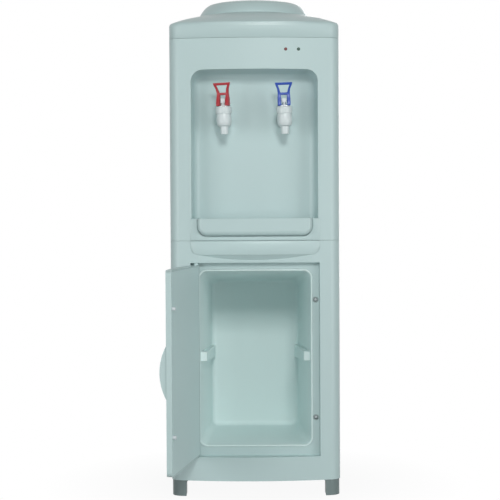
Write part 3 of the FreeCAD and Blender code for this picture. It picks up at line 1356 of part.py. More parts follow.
def make_cooler():
    """Thermoelectric cooler: cold block, module, finned heat sink, fan frame and fan rotor."""
    half = COLD_BLOCK_SIZE / 2
    z = COLD_AXIS_Z
    block = box(-half, half, 0, MODULE_Y, z - half, z + half)
    block = block.cut(rod(V(0, 0, z - half), Z_AXIS, COLD_TANK_RADIUS + FIT / 2, COLD_BLOCK_SIZE))
    module = box(-half, half, MODULE_Y, SINK_Y, z - half, z + half)
    size = SINK_SIZE / 2
    sink = box(-size, size, SINK_Y, SINK_Y + SINK_BASE, z - size, z + size)
    pitch = (SINK_SIZE - FIN_THICKNESS) / (FIN_COUNT - 1)
    for step in range(FIN_COUNT):
        x = -size + pitch * step
        sink = sink.fuse(box(x, x + FIN_THICKNESS, SINK_Y, FAN_Y, z - size, z + size))
    frame, rotor = make_fan(z)
    return {
        "cold_block": block, "thermoelectric_module": module, "heat_sink": sink.removeSplitter(),
        "fan_frame": frame, "fan_rotor": rotor,
    }


def make_fan(z):
    """Fan frame with its struts and motor boss, and the rotor with its pitched blades and shaft."""
    half = FAN_SIZE / 2
    bore = half - FAN_WALL
    back = FAN_Y + FAN_DEPTH
    frame = box(-half, half, FAN_Y, back, z - half, z + half)
    long = [edge for edge in frame.Edges if edge.BoundBox.YLength > FAN_DEPTH - PICK]
    frame = frame.makeFillet(FAN_CORNER, long)
    frame = frame.cut(rod(V(0, 0, z), Y_AXIS, bore, FAR))
    corner = half - FAN_HOLE_INSET
    for x in (-corner, corner):
        for dz in (-corner, corner):
            frame = frame.cut(rod(V(x, 0, z + dz), Y_AXIS, FAN_HOLE_RADIUS, FAR))
    strut_y = back - FAN_STRUT
    reach = bore + OVERCUT
    boss = rod(V(0, strut_y, z), Y_AXIS, FAN_HUB_RADIUS, FAN_STRUT)
    struts = [
        box(-FAN_STRUT / 2, FAN_STRUT / 2, strut_y, back, z - reach, z + reach),
        box(-reach, reach, strut_y, back, z - FAN_STRUT / 2, z + FAN_STRUT / 2),
    ]
    frame = fused(frame, boss, *struts)
    frame = frame.cut(rod(V(0, 0, z), Y_AXIS, FAN_SHAFT_RADIUS + RUN_CLEARANCE, FAR))
    hub_y = FAN_Y + FAN_END_GAP
    hub_depth = strut_y - FAN_END_GAP - hub_y
    hub = rod(V(0, hub_y, z), Y_AXIS, FAN_HUB_RADIUS, hub_depth)
    shaft = rod(V(0, hub_y, z), Y_AXIS, FAN_SHAFT_RADIUS, back - hub_y)
    tip = bore - FAN_TIP_GAP
    sweep = rod(V(0, hub_y, z), Y_AXIS, tip, hub_depth)
    chord = hub_depth * FAN_CHORD
    middle = hub_y + hub_depth / 2
    blades = []
    for step in range(FAN_BLADES):
        corner = V(FAN_HUB_RADIUS - FAN_ROOT, -chord / 2, -FAN_BLADE / 2)
        blade = Part.makeBox(tip - FAN_HUB_RADIUS + 2 * FAN_ROOT, chord, FAN_BLADE, corner)
        blade.rotate(V(0, 0, 0), X_AXIS, FAN_PITCH)
        blade.rotate(V(0, 0, 0), Y_AXIS, 360.0 * step / FAN_BLADES)
        blade.translate(V(0, middle, z))
        blades.append(blade.common(sweep))
    return frame, fused(hub, shaft, *blades)


# Hot side


def domed_can(radius, low, high, centre):
    """Can with a coned top, from radius and two heights."""
    dome = HOT_TANK_DOME
    cut = dome * HOT_TANK_BULGE
    profile = [
        (0, low), (radius, low), (radius, high - dome), (radius - cut, high - cut),
        (radius - dome, high), (0, high),
    ]
    return turned(profile, centre)


def feed_heading():
    """Level direction from the hot tank's axis to the feed hose."""
    return (FEED - V(HOT_TANK_X, HOT_TANK_Y, 0)).normalize()


def make_hot_side():
    """Hot tank with its ports, band heater, split jacket, thermostats and the shelf that carries them."""
    centre = V(HOT_TANK_X, HOT_TANK_Y, HOT_TANK_Z)
    tank = domed_can(HOT_TANK_RADIUS, 0, HOT_TANK_HEIGHT, centre)
    hollow = domed_can(HOT_TANK_RADIUS - TANK_WALL, TANK_WALL, HOT_TANK_HEIGHT - TANK_WALL, centre)
    port = V(HOT_TANK_X, HOT_TANK_Y, HOT_PORT_Z)
    outlet = V(-TAP_X, HOT_TANK_Y, HOT_OUTLET_Z)
    ports = [
        (port, feed_heading(), JACKET_RADIUS + OUTLET_REACH),
        (port, Y_AXIS, JACKET_RADIUS + DRAIN_SPIGOT),
        (outlet, -Y_AXIS, JACKET_RADIUS + OUTLET_REACH),
    ]
    tank = fused(tank, *[rod(start, axis, SPIGOT_RADIUS, reach) for start, axis, reach in ports])
    tank = tank.cut([hollow] + [rod(start, axis, WATERWAY, reach) for start, axis, reach in ports])
    band_z = HOT_TANK_Z + HEATER_RISE
    bore = HOT_TANK_RADIUS + FIT / 2
    band = tube(V(HOT_TANK_X, HOT_TANK_Y, band_z), Z_AXIS, bore + HEATER_THICKNESS, bore, HEATER_HEIGHT)
    near = HOT_TANK_Y - HEATER_SPLIT
    far = HOT_TANK_Y + HEATER_SPLIT
    split = box(HOT_TANK_X - FAR, HOT_TANK_X, near, far, 0, FAR)
    root_x = HOT_TANK_X - bore - HEATER_THICKNESS / 2
    lugs = [
        box(root_x - HEATER_LUG, root_x, y, y + HEATER_THICKNESS, band_z, band_z + HEATER_HEIGHT)
        for y in (near - HEATER_THICKNESS, far)
    ]
    band = fused(band.cut(split), *lugs)
    jacket = tube(centre, Z_AXIS, JACKET_RADIUS, JACKET_BORE, HOT_TANK_HEIGHT - JACKET_DROP)
    slit = JACKET_SPLIT / 2
    jacket = jacket.cut([
        box(HOT_TANK_X - FAR, HOT_TANK_X, HOT_TANK_Y - slit, HOT_TANK_Y + slit, 0, FAR),
    ] + [rod(start, axis, HOSE_RADIUS + FIT, FAR) for start, axis, reach in ports])
    discs = []
    for side in (-0.5, 0.5):
        foot = V(HOT_TANK_X + THERMOSTAT_SHIFT_X + THERMOSTAT_SPREAD * side,
                 HOT_TANK_Y + THERMOSTAT_SHIFT_Y, HOT_TANK_TOP_Z)
        disc = rod(foot, Z_AXIS, THERMOSTAT_RADIUS, THERMOSTAT_HEIGHT)
        for dx in (-TAB_SPREAD, TAB_SPREAD):
            corner = foot + V(dx - TAB_THICKNESS / 2, -TAB_WIDTH / 2, 0)
            disc = disc.fuse(Part.makeBox(TAB_THICKNESS, TAB_WIDTH, THERMOSTAT_HEIGHT + TAB_HEIGHT, corner))
        discs.append(disc.removeSplitter())
    half = HALF_WIDTH - SHEET
    front = WRAP_Y + SEAM
    back = BACK_Y - REAR_RADIUS - FIT
    shelf = box(-half, half, front, back, SHELF_Z, HOT_TANK_Z)
    for x in (-half, half - SHEET):
        shelf = shelf.fuse(box(x, x + SHEET, front, back, SHELF_Z - SHELF_FLANGE, HOT_TANK_Z))
    return {
        "hot_tank": tank, "band_heater": band, "hot_tank_jacket": jacket,
        "thermostats": Part.makeCompound(discs), "tank_shelf": shelf.removeSplitter(),
    }


def make_hoses():
    """Silicone hoses: hot feed, hot outlet, cold outlet and drain."""
    bore = SPIGOT_RADIUS + HOSE_GAP
    jacket = JACKET_RADIUS + FIT
    hot_axis = V(HOT_TANK_X, HOT_TANK_Y, HOT_PORT_Z)
    feed_top = FEED + Z_AXIS * (FOAM_Z0 - SHEET - FIT)
    feed = hose([feed_top, FEED + Z_AXIS * HOT_PORT_Z, hot_axis + feed_heading() * jacket])
    hot = hose([
        V(-TAP_X, HOT_TANK_Y - jacket, HOT_OUTLET_Z), V(-TAP_X, RISER_Y, HOT_OUTLET_Z),
        V(-TAP_X, RISER_Y, TAP_Z), V(-TAP_X, SPIGOT_END_Y, TAP_Z),
    ])
    cold_end = HOSE_RADIUS - math.sqrt(FOAM_RADIUS ** 2 - TAP_X ** 2)
    cold = tube(V(TAP_X, SPIGOT_END_Y, TAP_Z), Y_AXIS, HOSE_RADIUS, bore, cold_end - SPIGOT_END_Y)
    drain_y = HOT_TANK_Y + jacket
    drain = tube(hot_axis + Y_AXIS * jacket, Y_AXIS, HOSE_RADIUS, bore, DRAIN_INNER_Y - FIT - drain_y)
    return {"silicone_hoses": Part.makeCompound([feed, hot, cold, drain])}


# Back fittings


def make_drain():
    """Drain spout through the back panel and its ribbed screw cap."""
    axis_start = V(HOT_TANK_X, 0, HOT_PORT_Z)
    inner = DRAIN_INNER_Y
    reach = SPOUT_FLANGE + SPOUT_LENGTH
    spout = rod(axis_start + Y_AXIS * inner, Y_AXIS, SPOUT_RADIUS, BACK_OUTER_Y + reach - inner)
    flange = rod(axis_start + Y_AXIS * BACK_OUTER_Y, Y_AXIS, SPOUT_FLANGE_RADIUS, SPOUT_FLANGE)
    tail_start = axis_start + Y_AXIS * (inner - DRAIN_SPIGOT)
    tail = rod(tail_start, Y_AXIS, SPIGOT_RADIUS, DRAIN_SPIGOT + SPOUT_INSIDE)
    spout = fused(spout, flange, tail).cut(rod(axis_start, Y_AXIS, SPOUT_BORE, FAR))
    seat = BACK_OUTER_Y + SPOUT_FLANGE + FIT
    bore = SPOUT_RADIUS + CAP_THREAD_GAP
    depth = SPOUT_LENGTH + FIT
    cap = rod(axis_start + Y_AXIS * seat, Y_AXIS, bore + DRAIN_CAP_WALL, depth + DRAIN_CAP_WALL)
    rim = [edge for edge in cap.Edges if edge.BoundBox.YMin > seat + depth + DRAIN_CAP_WALL - PICK]
    cap = cap.makeChamfer(DRAIN_CAP_WALL / 2, rim)
    radius = bore + DRAIN_CAP_WALL
    rib = DRAIN_CAP_WALL / 3
    for step in range(DRAIN_CAP_RIBS):
        bar = Part.makeBox(2 * rib, depth, 2 * rib, axis_start + V(radius - rib, seat, -rib))
        cap = cap.fuse(bar.rotated(axis_start, Y_AXIS, 360.0 * step / DRAIN_CAP_RIBS))
    cap = cap.removeSplitter().cut(rod(axis_start + Y_AXIS * seat, Y_AXIS, bore, depth))
    return {"drain_spout": spout, "drain_cap": cap}


def rocker_pivot(x):
    """Pivot point of a rocker, inside the switch behind the back panel's face."""
    return V(x, BACK_OUTER_Y - ROCKER_PIVOT, SWITCH_Z)


def switch_housing(x):
    """Switch housing with its flange, the rocker's well and the trunnion holes."""
    half_w = SWITCH_WIDTH / 2
    half_h = SWITCH_HEIGHT / 2
    inner_y = BACK_OUTER_Y - SWITCH_DEPTH
    body = box(x - half_w, x + half_w, inner_y, BACK_OUTER_Y, SWITCH_Z - half_h, SWITCH_Z + half_h)
    rim = SWITCH_FLANGE_RIM
    flange = box(x - half_w - rim, x + half_w + rim, BACK_OUTER_Y, BACK_OUTER_Y + SWITCH_FLANGE,
                 SWITCH_Z - half_h - rim, SWITCH_Z + half_h + rim)
    swing = (ROCKER_PIVOT + SWITCH_FLANGE + ROCKER_PROUD) * math.sin(math.radians(ROCKER_TILT))
    well_w = ROCKER_WIDTH / 2 + ROCKER_GAP
    well_h = ROCKER_LENGTH / 2 + swing + ROCKER_GAP
    well = box(x - well_w, x + well_w, inner_y + SHELL, FAR, SWITCH_Z - well_h, SWITCH_Z + well_h)
    hole_w = half_w - SWITCH_WALL
    holes = rod(rocker_pivot(x) - X_AXIS * hole_w, X_AXIS, ROCKER_TRUNNION + RUN_CLEARANCE, 2 * hole_w)
    return fused(body, flange).cut([well, holes])


def switch_rocker(x):
    """Rocker with two slanted faces and trunnions, tipped to its off position."""
    half_w = ROCKER_WIDTH / 2
    half_l = ROCKER_LENGTH / 2
    pivot = rocker_pivot(x)
    face = BACK_OUTER_Y + SWITCH_FLANGE
    dish = math.tan(math.radians(ROCKER_TILT)) * half_l
    crown = face + ROCKER_PROUD
    low = SWITCH_Z - half_l
    high = SWITCH_Z + half_l
    outline = [
        (crown, low), (crown - dish, SWITCH_Z), (crown, high),
        (pivot.y, high), (pivot.y - ROCKER_KEEL, SWITCH_Z), (pivot.y, low),
    ]
    key = polygon_prism([V(x - half_w, y, z) for y, z in outline], V(ROCKER_WIDTH, 0, 0))
    reach = half_w + ROCKER_GAP + ROCKER_TRUNNION_REACH
    key = fused(key, rod(pivot - X_AXIS * reach, X_AXIS, ROCKER_TRUNNION, 2 * reach))
    return key.rotated(pivot, X_AXIS, -ROCKER_TILT)


def make_switches():
    """Hot and cold rocker switches on the back."""
    return {
        "switch_housings": Part.makeCompound([switch_housing(HOT_SWITCH_X), switch_housing(COLD_SWITCH_X)]),
        "hot_switch_rocker": switch_rocker(HOT_SWITCH_X),
        "cold_switch_rocker": switch_rocker(COLD_SWITCH_X),
    }


def make_cord_grommet():
    """Rubber grommet in the back panel where the mains lead would enter."""
    lip = GROMMET_LIP
    start = V(GROMMET_X, BACK_INNER_Y - lip, GROMMET_Z)
    length = SHEET + 2 * lip
    inner = rod(start, Y_AXIS, GROMMET_RADIUS, lip)
    middle = rod(start, Y_AXIS, GROMMET_RADIUS - lip, length)
    outer = rod(start + Y_AXIS * (length - lip), Y_AXIS, GROMMET_RADIUS, lip)
    bore = rod(start, Y_AXIS, GROMMET_BORE, length)
    return {"cord_grommet": fused(inner, middle, outer).cut(bore)}


def make_power_board():
    """Power board on standoffs: transformer, relay and two capacitors."""
    x0 = POWER_BOARD_X
    y0 = POWER_BOARD_Y
    z0 = HOT_TANK_Z + STANDOFF_HEIGHT
    top = z0 + BOARD_SHEET
    pieces = [box(x0, x0 + POWER_BOARD_WIDTH, y0, y0 + POWER_BOARD_LENGTH, z0, top)]
    inset = 2 * STANDOFF_RADIUS
    for x in (x0 + inset, x0 + POWER_BOARD_WIDTH - inset):
        for y in (y0 + inset, y0 + POWER_BOARD_LENGTH - inset):
            pieces.append(rod(V(x, y, HOT_TANK_Z), Z_AXIS, STANDOFF_RADIUS, STANDOFF_HEIGHT))
    width, length, height = TRANSFORMER_SIZE
    x = x0 + POWER_BOARD_WIDTH / 2 - width / 2
    y = y0 + 2 * inset
    pieces.append(box(x, x + width, y, y + length, top, top + height))
    y += length + inset
    width, length, height = RELAY_SIZE
    pieces.append(box(x, x + width, y, y + length, top, top + height))
    for step in range(2):
        place = V(x + width + inset + CAPACITOR_RADIUS, y + CAPACITOR_RADIUS + CAPACITOR_PITCH * step, top)
        pieces.append(rod(place, Z_AXIS, CAPACITOR_RADIUS, CAPACITOR_HEIGHT))
    return {"power_board": Part.makeCompound(pieces)}


def build_all():
    """Every node of the dispenser by its name."""
    nodes = {}
    makers = [
        make_feet, make_base_pan, make_side_panels, make_back_panel, make_lower_front, make_upper_front,
        make_top_cover, make_bottle_seat, make_cabinet_liner, make_door, make_catch_sockets, make_drip_tray,
        make_lamps, make_taps, make_cold_tank, make_cooler, make_hot_side, make_hoses, make_drain,
        make_switches, make_cord_grommet, make_power_board,
    ]
    for maker in makers:
        nodes.update(maker())
    return nodes


def main():
    """Build the dispenser and write one file for each node."""
    os.makedirs("parts", exist_ok=True)
    for name, shape in build_all().items():
        shape.exportStep("parts/" + name + ".step")
        print(name, "solids", len(shape.Solids), "valid", shape.isValid(), "volume", round(shape.Volume))


if __name__ == "__main__":
    main()
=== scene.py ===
"""Finishes, small details, light and camera for the water dispenser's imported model."""
import logging
import math
from dataclasses import dataclass
from enum import Enum
from typing import Callable, Iterable, Iterator, Sequence, Union

import bpy
from mathutils import Matrix, Vector


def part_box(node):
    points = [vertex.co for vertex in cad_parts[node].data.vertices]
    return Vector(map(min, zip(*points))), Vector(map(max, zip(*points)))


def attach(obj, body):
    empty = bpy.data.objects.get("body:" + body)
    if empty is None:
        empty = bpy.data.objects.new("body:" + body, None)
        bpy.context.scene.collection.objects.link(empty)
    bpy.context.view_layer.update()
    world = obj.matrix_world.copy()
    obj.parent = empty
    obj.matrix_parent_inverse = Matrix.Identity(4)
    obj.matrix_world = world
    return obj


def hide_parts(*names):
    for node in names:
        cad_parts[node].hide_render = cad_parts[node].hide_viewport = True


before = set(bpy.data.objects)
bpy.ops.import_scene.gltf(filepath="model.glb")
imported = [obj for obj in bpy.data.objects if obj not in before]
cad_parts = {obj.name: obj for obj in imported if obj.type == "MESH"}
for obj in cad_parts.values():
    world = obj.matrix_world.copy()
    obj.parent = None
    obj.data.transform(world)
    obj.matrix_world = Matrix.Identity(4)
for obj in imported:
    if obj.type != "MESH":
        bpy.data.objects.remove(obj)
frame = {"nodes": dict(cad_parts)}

LOG = logging.getLogger("dispenser")
MM = 0.001
# Places closer than this count as one.
NEAR = 0.1 * MM
Colour = tuple[float, float, float]
Number = Union[float, int, "Value"]


class Grain(Enum):
    """Surface character of a finish."""

    MOULDED = "moulded"
    PAINTED = "painted"
    BRUSHED = "brushed"
    FOAM = "foam"
    BOARD = "board"


class Body(Enum):
    """Moving bodies that added pieces ride on."""

    HOUSING = "housing"
    HOT_LEVER = "hot_lever"
    COLD_LEVER = "cold_lever"
    HOT_ROCKER = "hot_rocker"
    COLD_ROCKER = "cold_rocker"


def linear(code: float) -> float:
    """One sRGB channel from 0 to 255 as linear light."""
    share = code / 255.0
    return share / 12.92 if share <= 0.04045 else ((share + 0.055) / 1.055) ** 2.4


@dataclass(frozen=True)
class Finish:
    """Colour and surface of one material.

    Args:
        name: Name of the material.
        srgb: Colour in sRGB from 0 to 255.
        roughness: Mean roughness.
        grain: Surface character.
        metallic: 1 for bare metal.
        coat: Weight of a clear coat.
        glow: Strength of light given off, for lamps.
        sheer: Share of light let through.
        mottle: How far the colour wanders from its mean.
    """

    name: str
    srgb: Colour
    roughness: float
    grain: Grain = Grain.MOULDED
    metallic: float = 0.0
    coat: float = 0.0
    glow: float = 0.0
    sheer: float = 0.0
    mottle: float = 0.03

    def rgba(self, factor: float) -> tuple[float, float, float, float]:
        """Linear colour, made lighter or darker by a factor."""
        red, green, blue = (min(1.0, linear(code) * factor) for code in self.srgb)
        return red, green, blue, 1.0


class Value:
    """Output of a shader node, to link or to take part in sums and products."""

    def __init__(self, graph: "Graph", socket: bpy.types.NodeSocket) -> None:
        """Keep the graph and the output's socket."""
        self.graph = graph
        self.socket = socket

    def __add__(self, other: Number) -> "Value":
        """This value plus another."""
        return self.graph.sum("ADD", self, other)

    def __radd__(self, other: Number) -> "Value":
        """Another value plus this one."""
        return self.graph.sum("ADD", other, self)

    def __sub__(self, other: Number) -> "Value":
        """This value less another."""
        return self.graph.sum("SUBTRACT", self, other)

    def __rsub__(self, other: Number) -> "Value":
        """Another value less this one."""
        return self.graph.sum("SUBTRACT", other, self)

    def __mul__(self, other: Number) -> "Value":
        """This value times another."""
        return self.graph.sum("MULTIPLY", self, other)

    def __rmul__(self, other: Number) -> "Value":
        """Another value times this one."""
        return self.graph.sum("MULTIPLY", other, self)


class Graph:
    """Node tree of one material or world, built a node at a time."""

    def __init__(self, tree: bpy.types.NodeTree) -> None:
        """Start an empty tree."""
        self.tree = tree
        self.tree.nodes.clear()

    def node(self, kind: str, inputs: dict | None = None, **settings: object) -> bpy.types.Node:
        """Add a node, set its properties and join or set its inputs.

        Args:
            kind: Node type name.
            inputs: Input name or number to a Value or constant.
            **settings: Properties of the node.

        Returns:
            The new node.
        """
        made = self.tree.nodes.new(kind)
        for name, setting in settings.items():
            setattr(made, name, setting)
        for key, given in (inputs or {}).items():
            if isinstance(given, Value):
                self.tree.links.new(given.socket, made.inputs[key])
            else:
                made.inputs[key].default_value = given
        return made

    def value(self, kind: str, output: str | int, inputs: dict | None = None, **settings: object) -> Value:
        """Add a node and give one of its outputs as a Value."""
        return Value(self, self.node(kind, inputs, **settings).outputs[output])

    def sum(self, operation: str, first: Number, second: Number) -> Value:
        """Arithmetic on two values."""
        return self.value("ShaderNodeMath", 0, {0: first, 1: second}, operation=operation)


class FinishMaker:
    """Turns finishes into procedural materials."""

    GRAIN_SCALE = {
        Grain.MOULDED: 900.0,
        Grain.PAINTED: 500.0,
        Grain.BRUSHED: 260.0,
        Grain.FOAM: 160.0,
        Grain.BOARD: 120.0,
    }
    GRAIN_HEIGHT = {
        Grain.MOULDED: 0.015,
        Grain.PAINTED: 0.03,
        Grain.BRUSHED: 0.02,
        Grain.FOAM: 0.35,
        Grain.BOARD: 0.05,
    }
    BRUSH_STRETCH = (1.0, 1.0, 0.04)
    BROAD_SCALE = 6.0
    BROAD_DETAIL = 3.0
    FINE_DETAIL = 2.0
    BROAD_SHARE = 0.7
    FINE_SHARE = 0.3
    BROAD_GLOSS = 0.10
    FINE_GLOSS = 0.06
    NOISE_MEAN = 0.5
    RELIEF_DEPTH = 0.001
    COAT_ROUGHNESS = 0.2
    # Numbers of a Mix node's colour sockets.
    MIX_FIRST = 6
    MIX_SECOND = 7
    MIX_RESULT = 2

    def __init__(self) -> None:
        """Start with no material made."""
        self.made: dict[str, bpy.types.Material] = {}

    def material(self, finish: Finish) -> bpy.types.Material:
        """Material of a finish, made once.

        Args:
            finish: Finish that is asked for.

        Returns:
            Its material.
        """
        if finish.name not in self.made:
            self.made[finish.name] = self._build(finish)
        return self.made[finish.name]

    @staticmethod
    def _noise(graph: Graph, place: Value, scale: float, detail: float) -> Value:
        """Noise of a scale and detail over a place."""
        return graph.value("ShaderNodeTexNoise", 0, {"Vector": place, "Scale": scale, "Detail": detail})

    def _build(self, finish: Finish) -> bpy.types.Material:
        """Node tree of a finish: wandering colour, uneven gloss and fine relief.

        Args:
            finish: Finish to make.

        Returns:
            The new material.
        """
        material = bpy.data.materials.new(finish.name)
        material.use_nodes = True
        graph = Graph(material.node_tree)
        place = graph.value("ShaderNodeTexCoord", "Object")
        if finish.grain is Grain.BRUSHED:
            place = graph.value("ShaderNodeMapping", "Vector", {"Vector": place, "Scale": self.BRUSH_STRETCH})
        broad = self._noise(graph, place, self.BROAD_SCALE, self.BROAD_DETAIL)
        fine = self._noise(graph, place, self.GRAIN_SCALE[finish.grain], self.FINE_DETAIL)
        shade = broad * self.BROAD_SHARE + fine * self.FINE_SHARE
        darker, lighter = finish.rgba(1.0 - finish.mottle), finish.rgba(1.0 + finish.mottle)
        colour = graph.value(
            "ShaderNodeMix", self.MIX_RESULT,
            {0: shade, self.MIX_FIRST: darker, self.MIX_SECOND: lighter},
            data_type="RGBA",
        )
        gloss = finish.roughness + (broad - self.NOISE_MEAN) * self.BROAD_GLOSS
        gloss = gloss + (fine - self.NOISE_MEAN) * self.FINE_GLOSS
        height = self.GRAIN_HEIGHT[finish.grain]
        relief = graph.value(
            "ShaderNodeBump", 0, {"Strength": height, "Distance": self.RELIEF_DEPTH, "Height": fine}
        )
        shader = graph.value(
            "ShaderNodeBsdfPrincipled", 0,
            {
                "Base Color": colour,
                "Roughness": gloss,
                "Metallic": finish.metallic,
                "Coat Weight": finish.coat,
                "Coat Roughness": self.COAT_ROUGHNESS,
                "Transmission Weight": finish.sheer,
                "Emission Color": colour,
                "Emission Strength": finish.glow,
                "Normal": relief,
            },
        )
        graph.node("ShaderNodeOutputMaterial", {"Surface": shader})
        return material


MINT = Finish("mint_plastic", (185, 207, 207), 0.42, coat=0.1)
COVER = Finish("cover_plastic", (181, 203, 203), 0.40, coat=0.1)
LINER = Finish("liner_plastic", (226, 243, 242), 0.48)
INNER_DOOR = Finish("door_panel_plastic", (204, 226, 226), 0.46)
# Painted shade: the feet are the body's mint plastic made darker, standing in for the shade they lie in.
FOOT_PAINTED_SHADE = Finish("foot_plastic", (112, 127, 127), 0.5)
WHITE = Finish("white_plastic", (214, 222, 226), 0.35, coat=0.2)
TAP = Finish("tap_plastic", (211, 222, 223), 0.34, coat=0.2)
RED = Finish("red_plastic", (168, 24, 38), 0.38, coat=0.15)
BLUE = Finish("blue_plastic", (24, 70, 168), 0.38, coat=0.15)
RED_LENS = Finish("red_lens", (104, 26, 26), 0.2, coat=0.6, glow=0.05)
GREEN_LENS = Finish("green_lens", (34, 74, 58), 0.2, coat=0.6, glow=0.05)
SHEET = Finish("painted_sheet", (182, 202, 200), 0.45, Grain.PAINTED)
ZINC = Finish("zinc_sheet", (150, 154, 156), 0.42, Grain.BRUSHED, metallic=1.0, mottle=0.12)
STEEL = Finish("stainless", (196, 198, 200), 0.28, Grain.BRUSHED, metallic=1.0, mottle=0.06)
ALUMINIUM = Finish("aluminium", (190, 192, 195), 0.36, Grain.BRUSHED, metallic=1.0, mottle=0.06)
FOAM = Finish("foam", (226, 226, 216), 0.85, Grain.FOAM)
SOCKET = Finish("socket_plastic", (158, 175, 175), 0.5)
BLACK = Finish("black_plastic", (26, 27, 29), 0.45, mottle=0.1)
SILICONE = Finish("silicone", (214, 214, 206), 0.5, sheer=0.3)
RUBBER = Finish("black_rubber", (20, 20, 21), 0.7, mottle=0.12)
BOARD = Finish("board", (30, 82, 50), 0.35, Grain.BOARD, coat=0.4, mottle=0.1)
CERAMIC = Finish("ceramic", (226, 226, 220), 0.5)

NODE_FINISH: dict[Finish, tuple[str, ...]] = {
    MINT: ("lower_front_panel", "upper_front_panel", "door_skin", "drip_tray"),
    FOOT_PAINTED_SHADE: ("front_feet", "rear_feet"),
    COVER: ("top_cover",),
    LINER: ("cabinet_liner",),
    INNER_DOOR: ("door_inner_panel",),
    WHITE: ("bottle_seat", "door_pegs", "drip_grille", "tap_nuts", "drain_spout", "drain_cap"),
    TAP: ("hot_tap_body", "cold_tap_body", "hot_tap_cap", "cold_tap_cap", "hot_tap_stem", "cold_tap_stem"),
    RED: ("hot_tap_lever", "hot_switch_rocker"),
    BLUE: ("cold_tap_lever",),
    RED_LENS: ("hot_lamp",),
    GREEN_LENS: ("cold_lamp",),
    SHEET: ("right_side_panel", "left_side_panel", "back_panel"),
    ZINC: ("base_pan", "tank_bracket", "tank_shelf"),
    STEEL: ("door_hinge_pins", "tap_washers", "hot_lever_pin", "cold_lever_pin", "cold_tank", "hot_tank",
            "band_heater"),
    ALUMINIUM: ("cold_block", "heat_sink"),
    FOAM: ("cold_tank_foam", "hot_tank_jacket"),
    SOCKET: ("catch_sockets",),
    BLACK: ("fan_frame", "fan_rotor", "thermostats", "switch_housings", "cold_switch_rocker"),
    SILICONE: ("tap_gaskets", "silicone_hoses", "hot_seat_cup", "cold_seat_cup"),
    RUBBER: ("cord_grommet",),
    BOARD: ("lamp_board", "power_board"),
    CERAMIC: ("thermoelectric_module",),
}


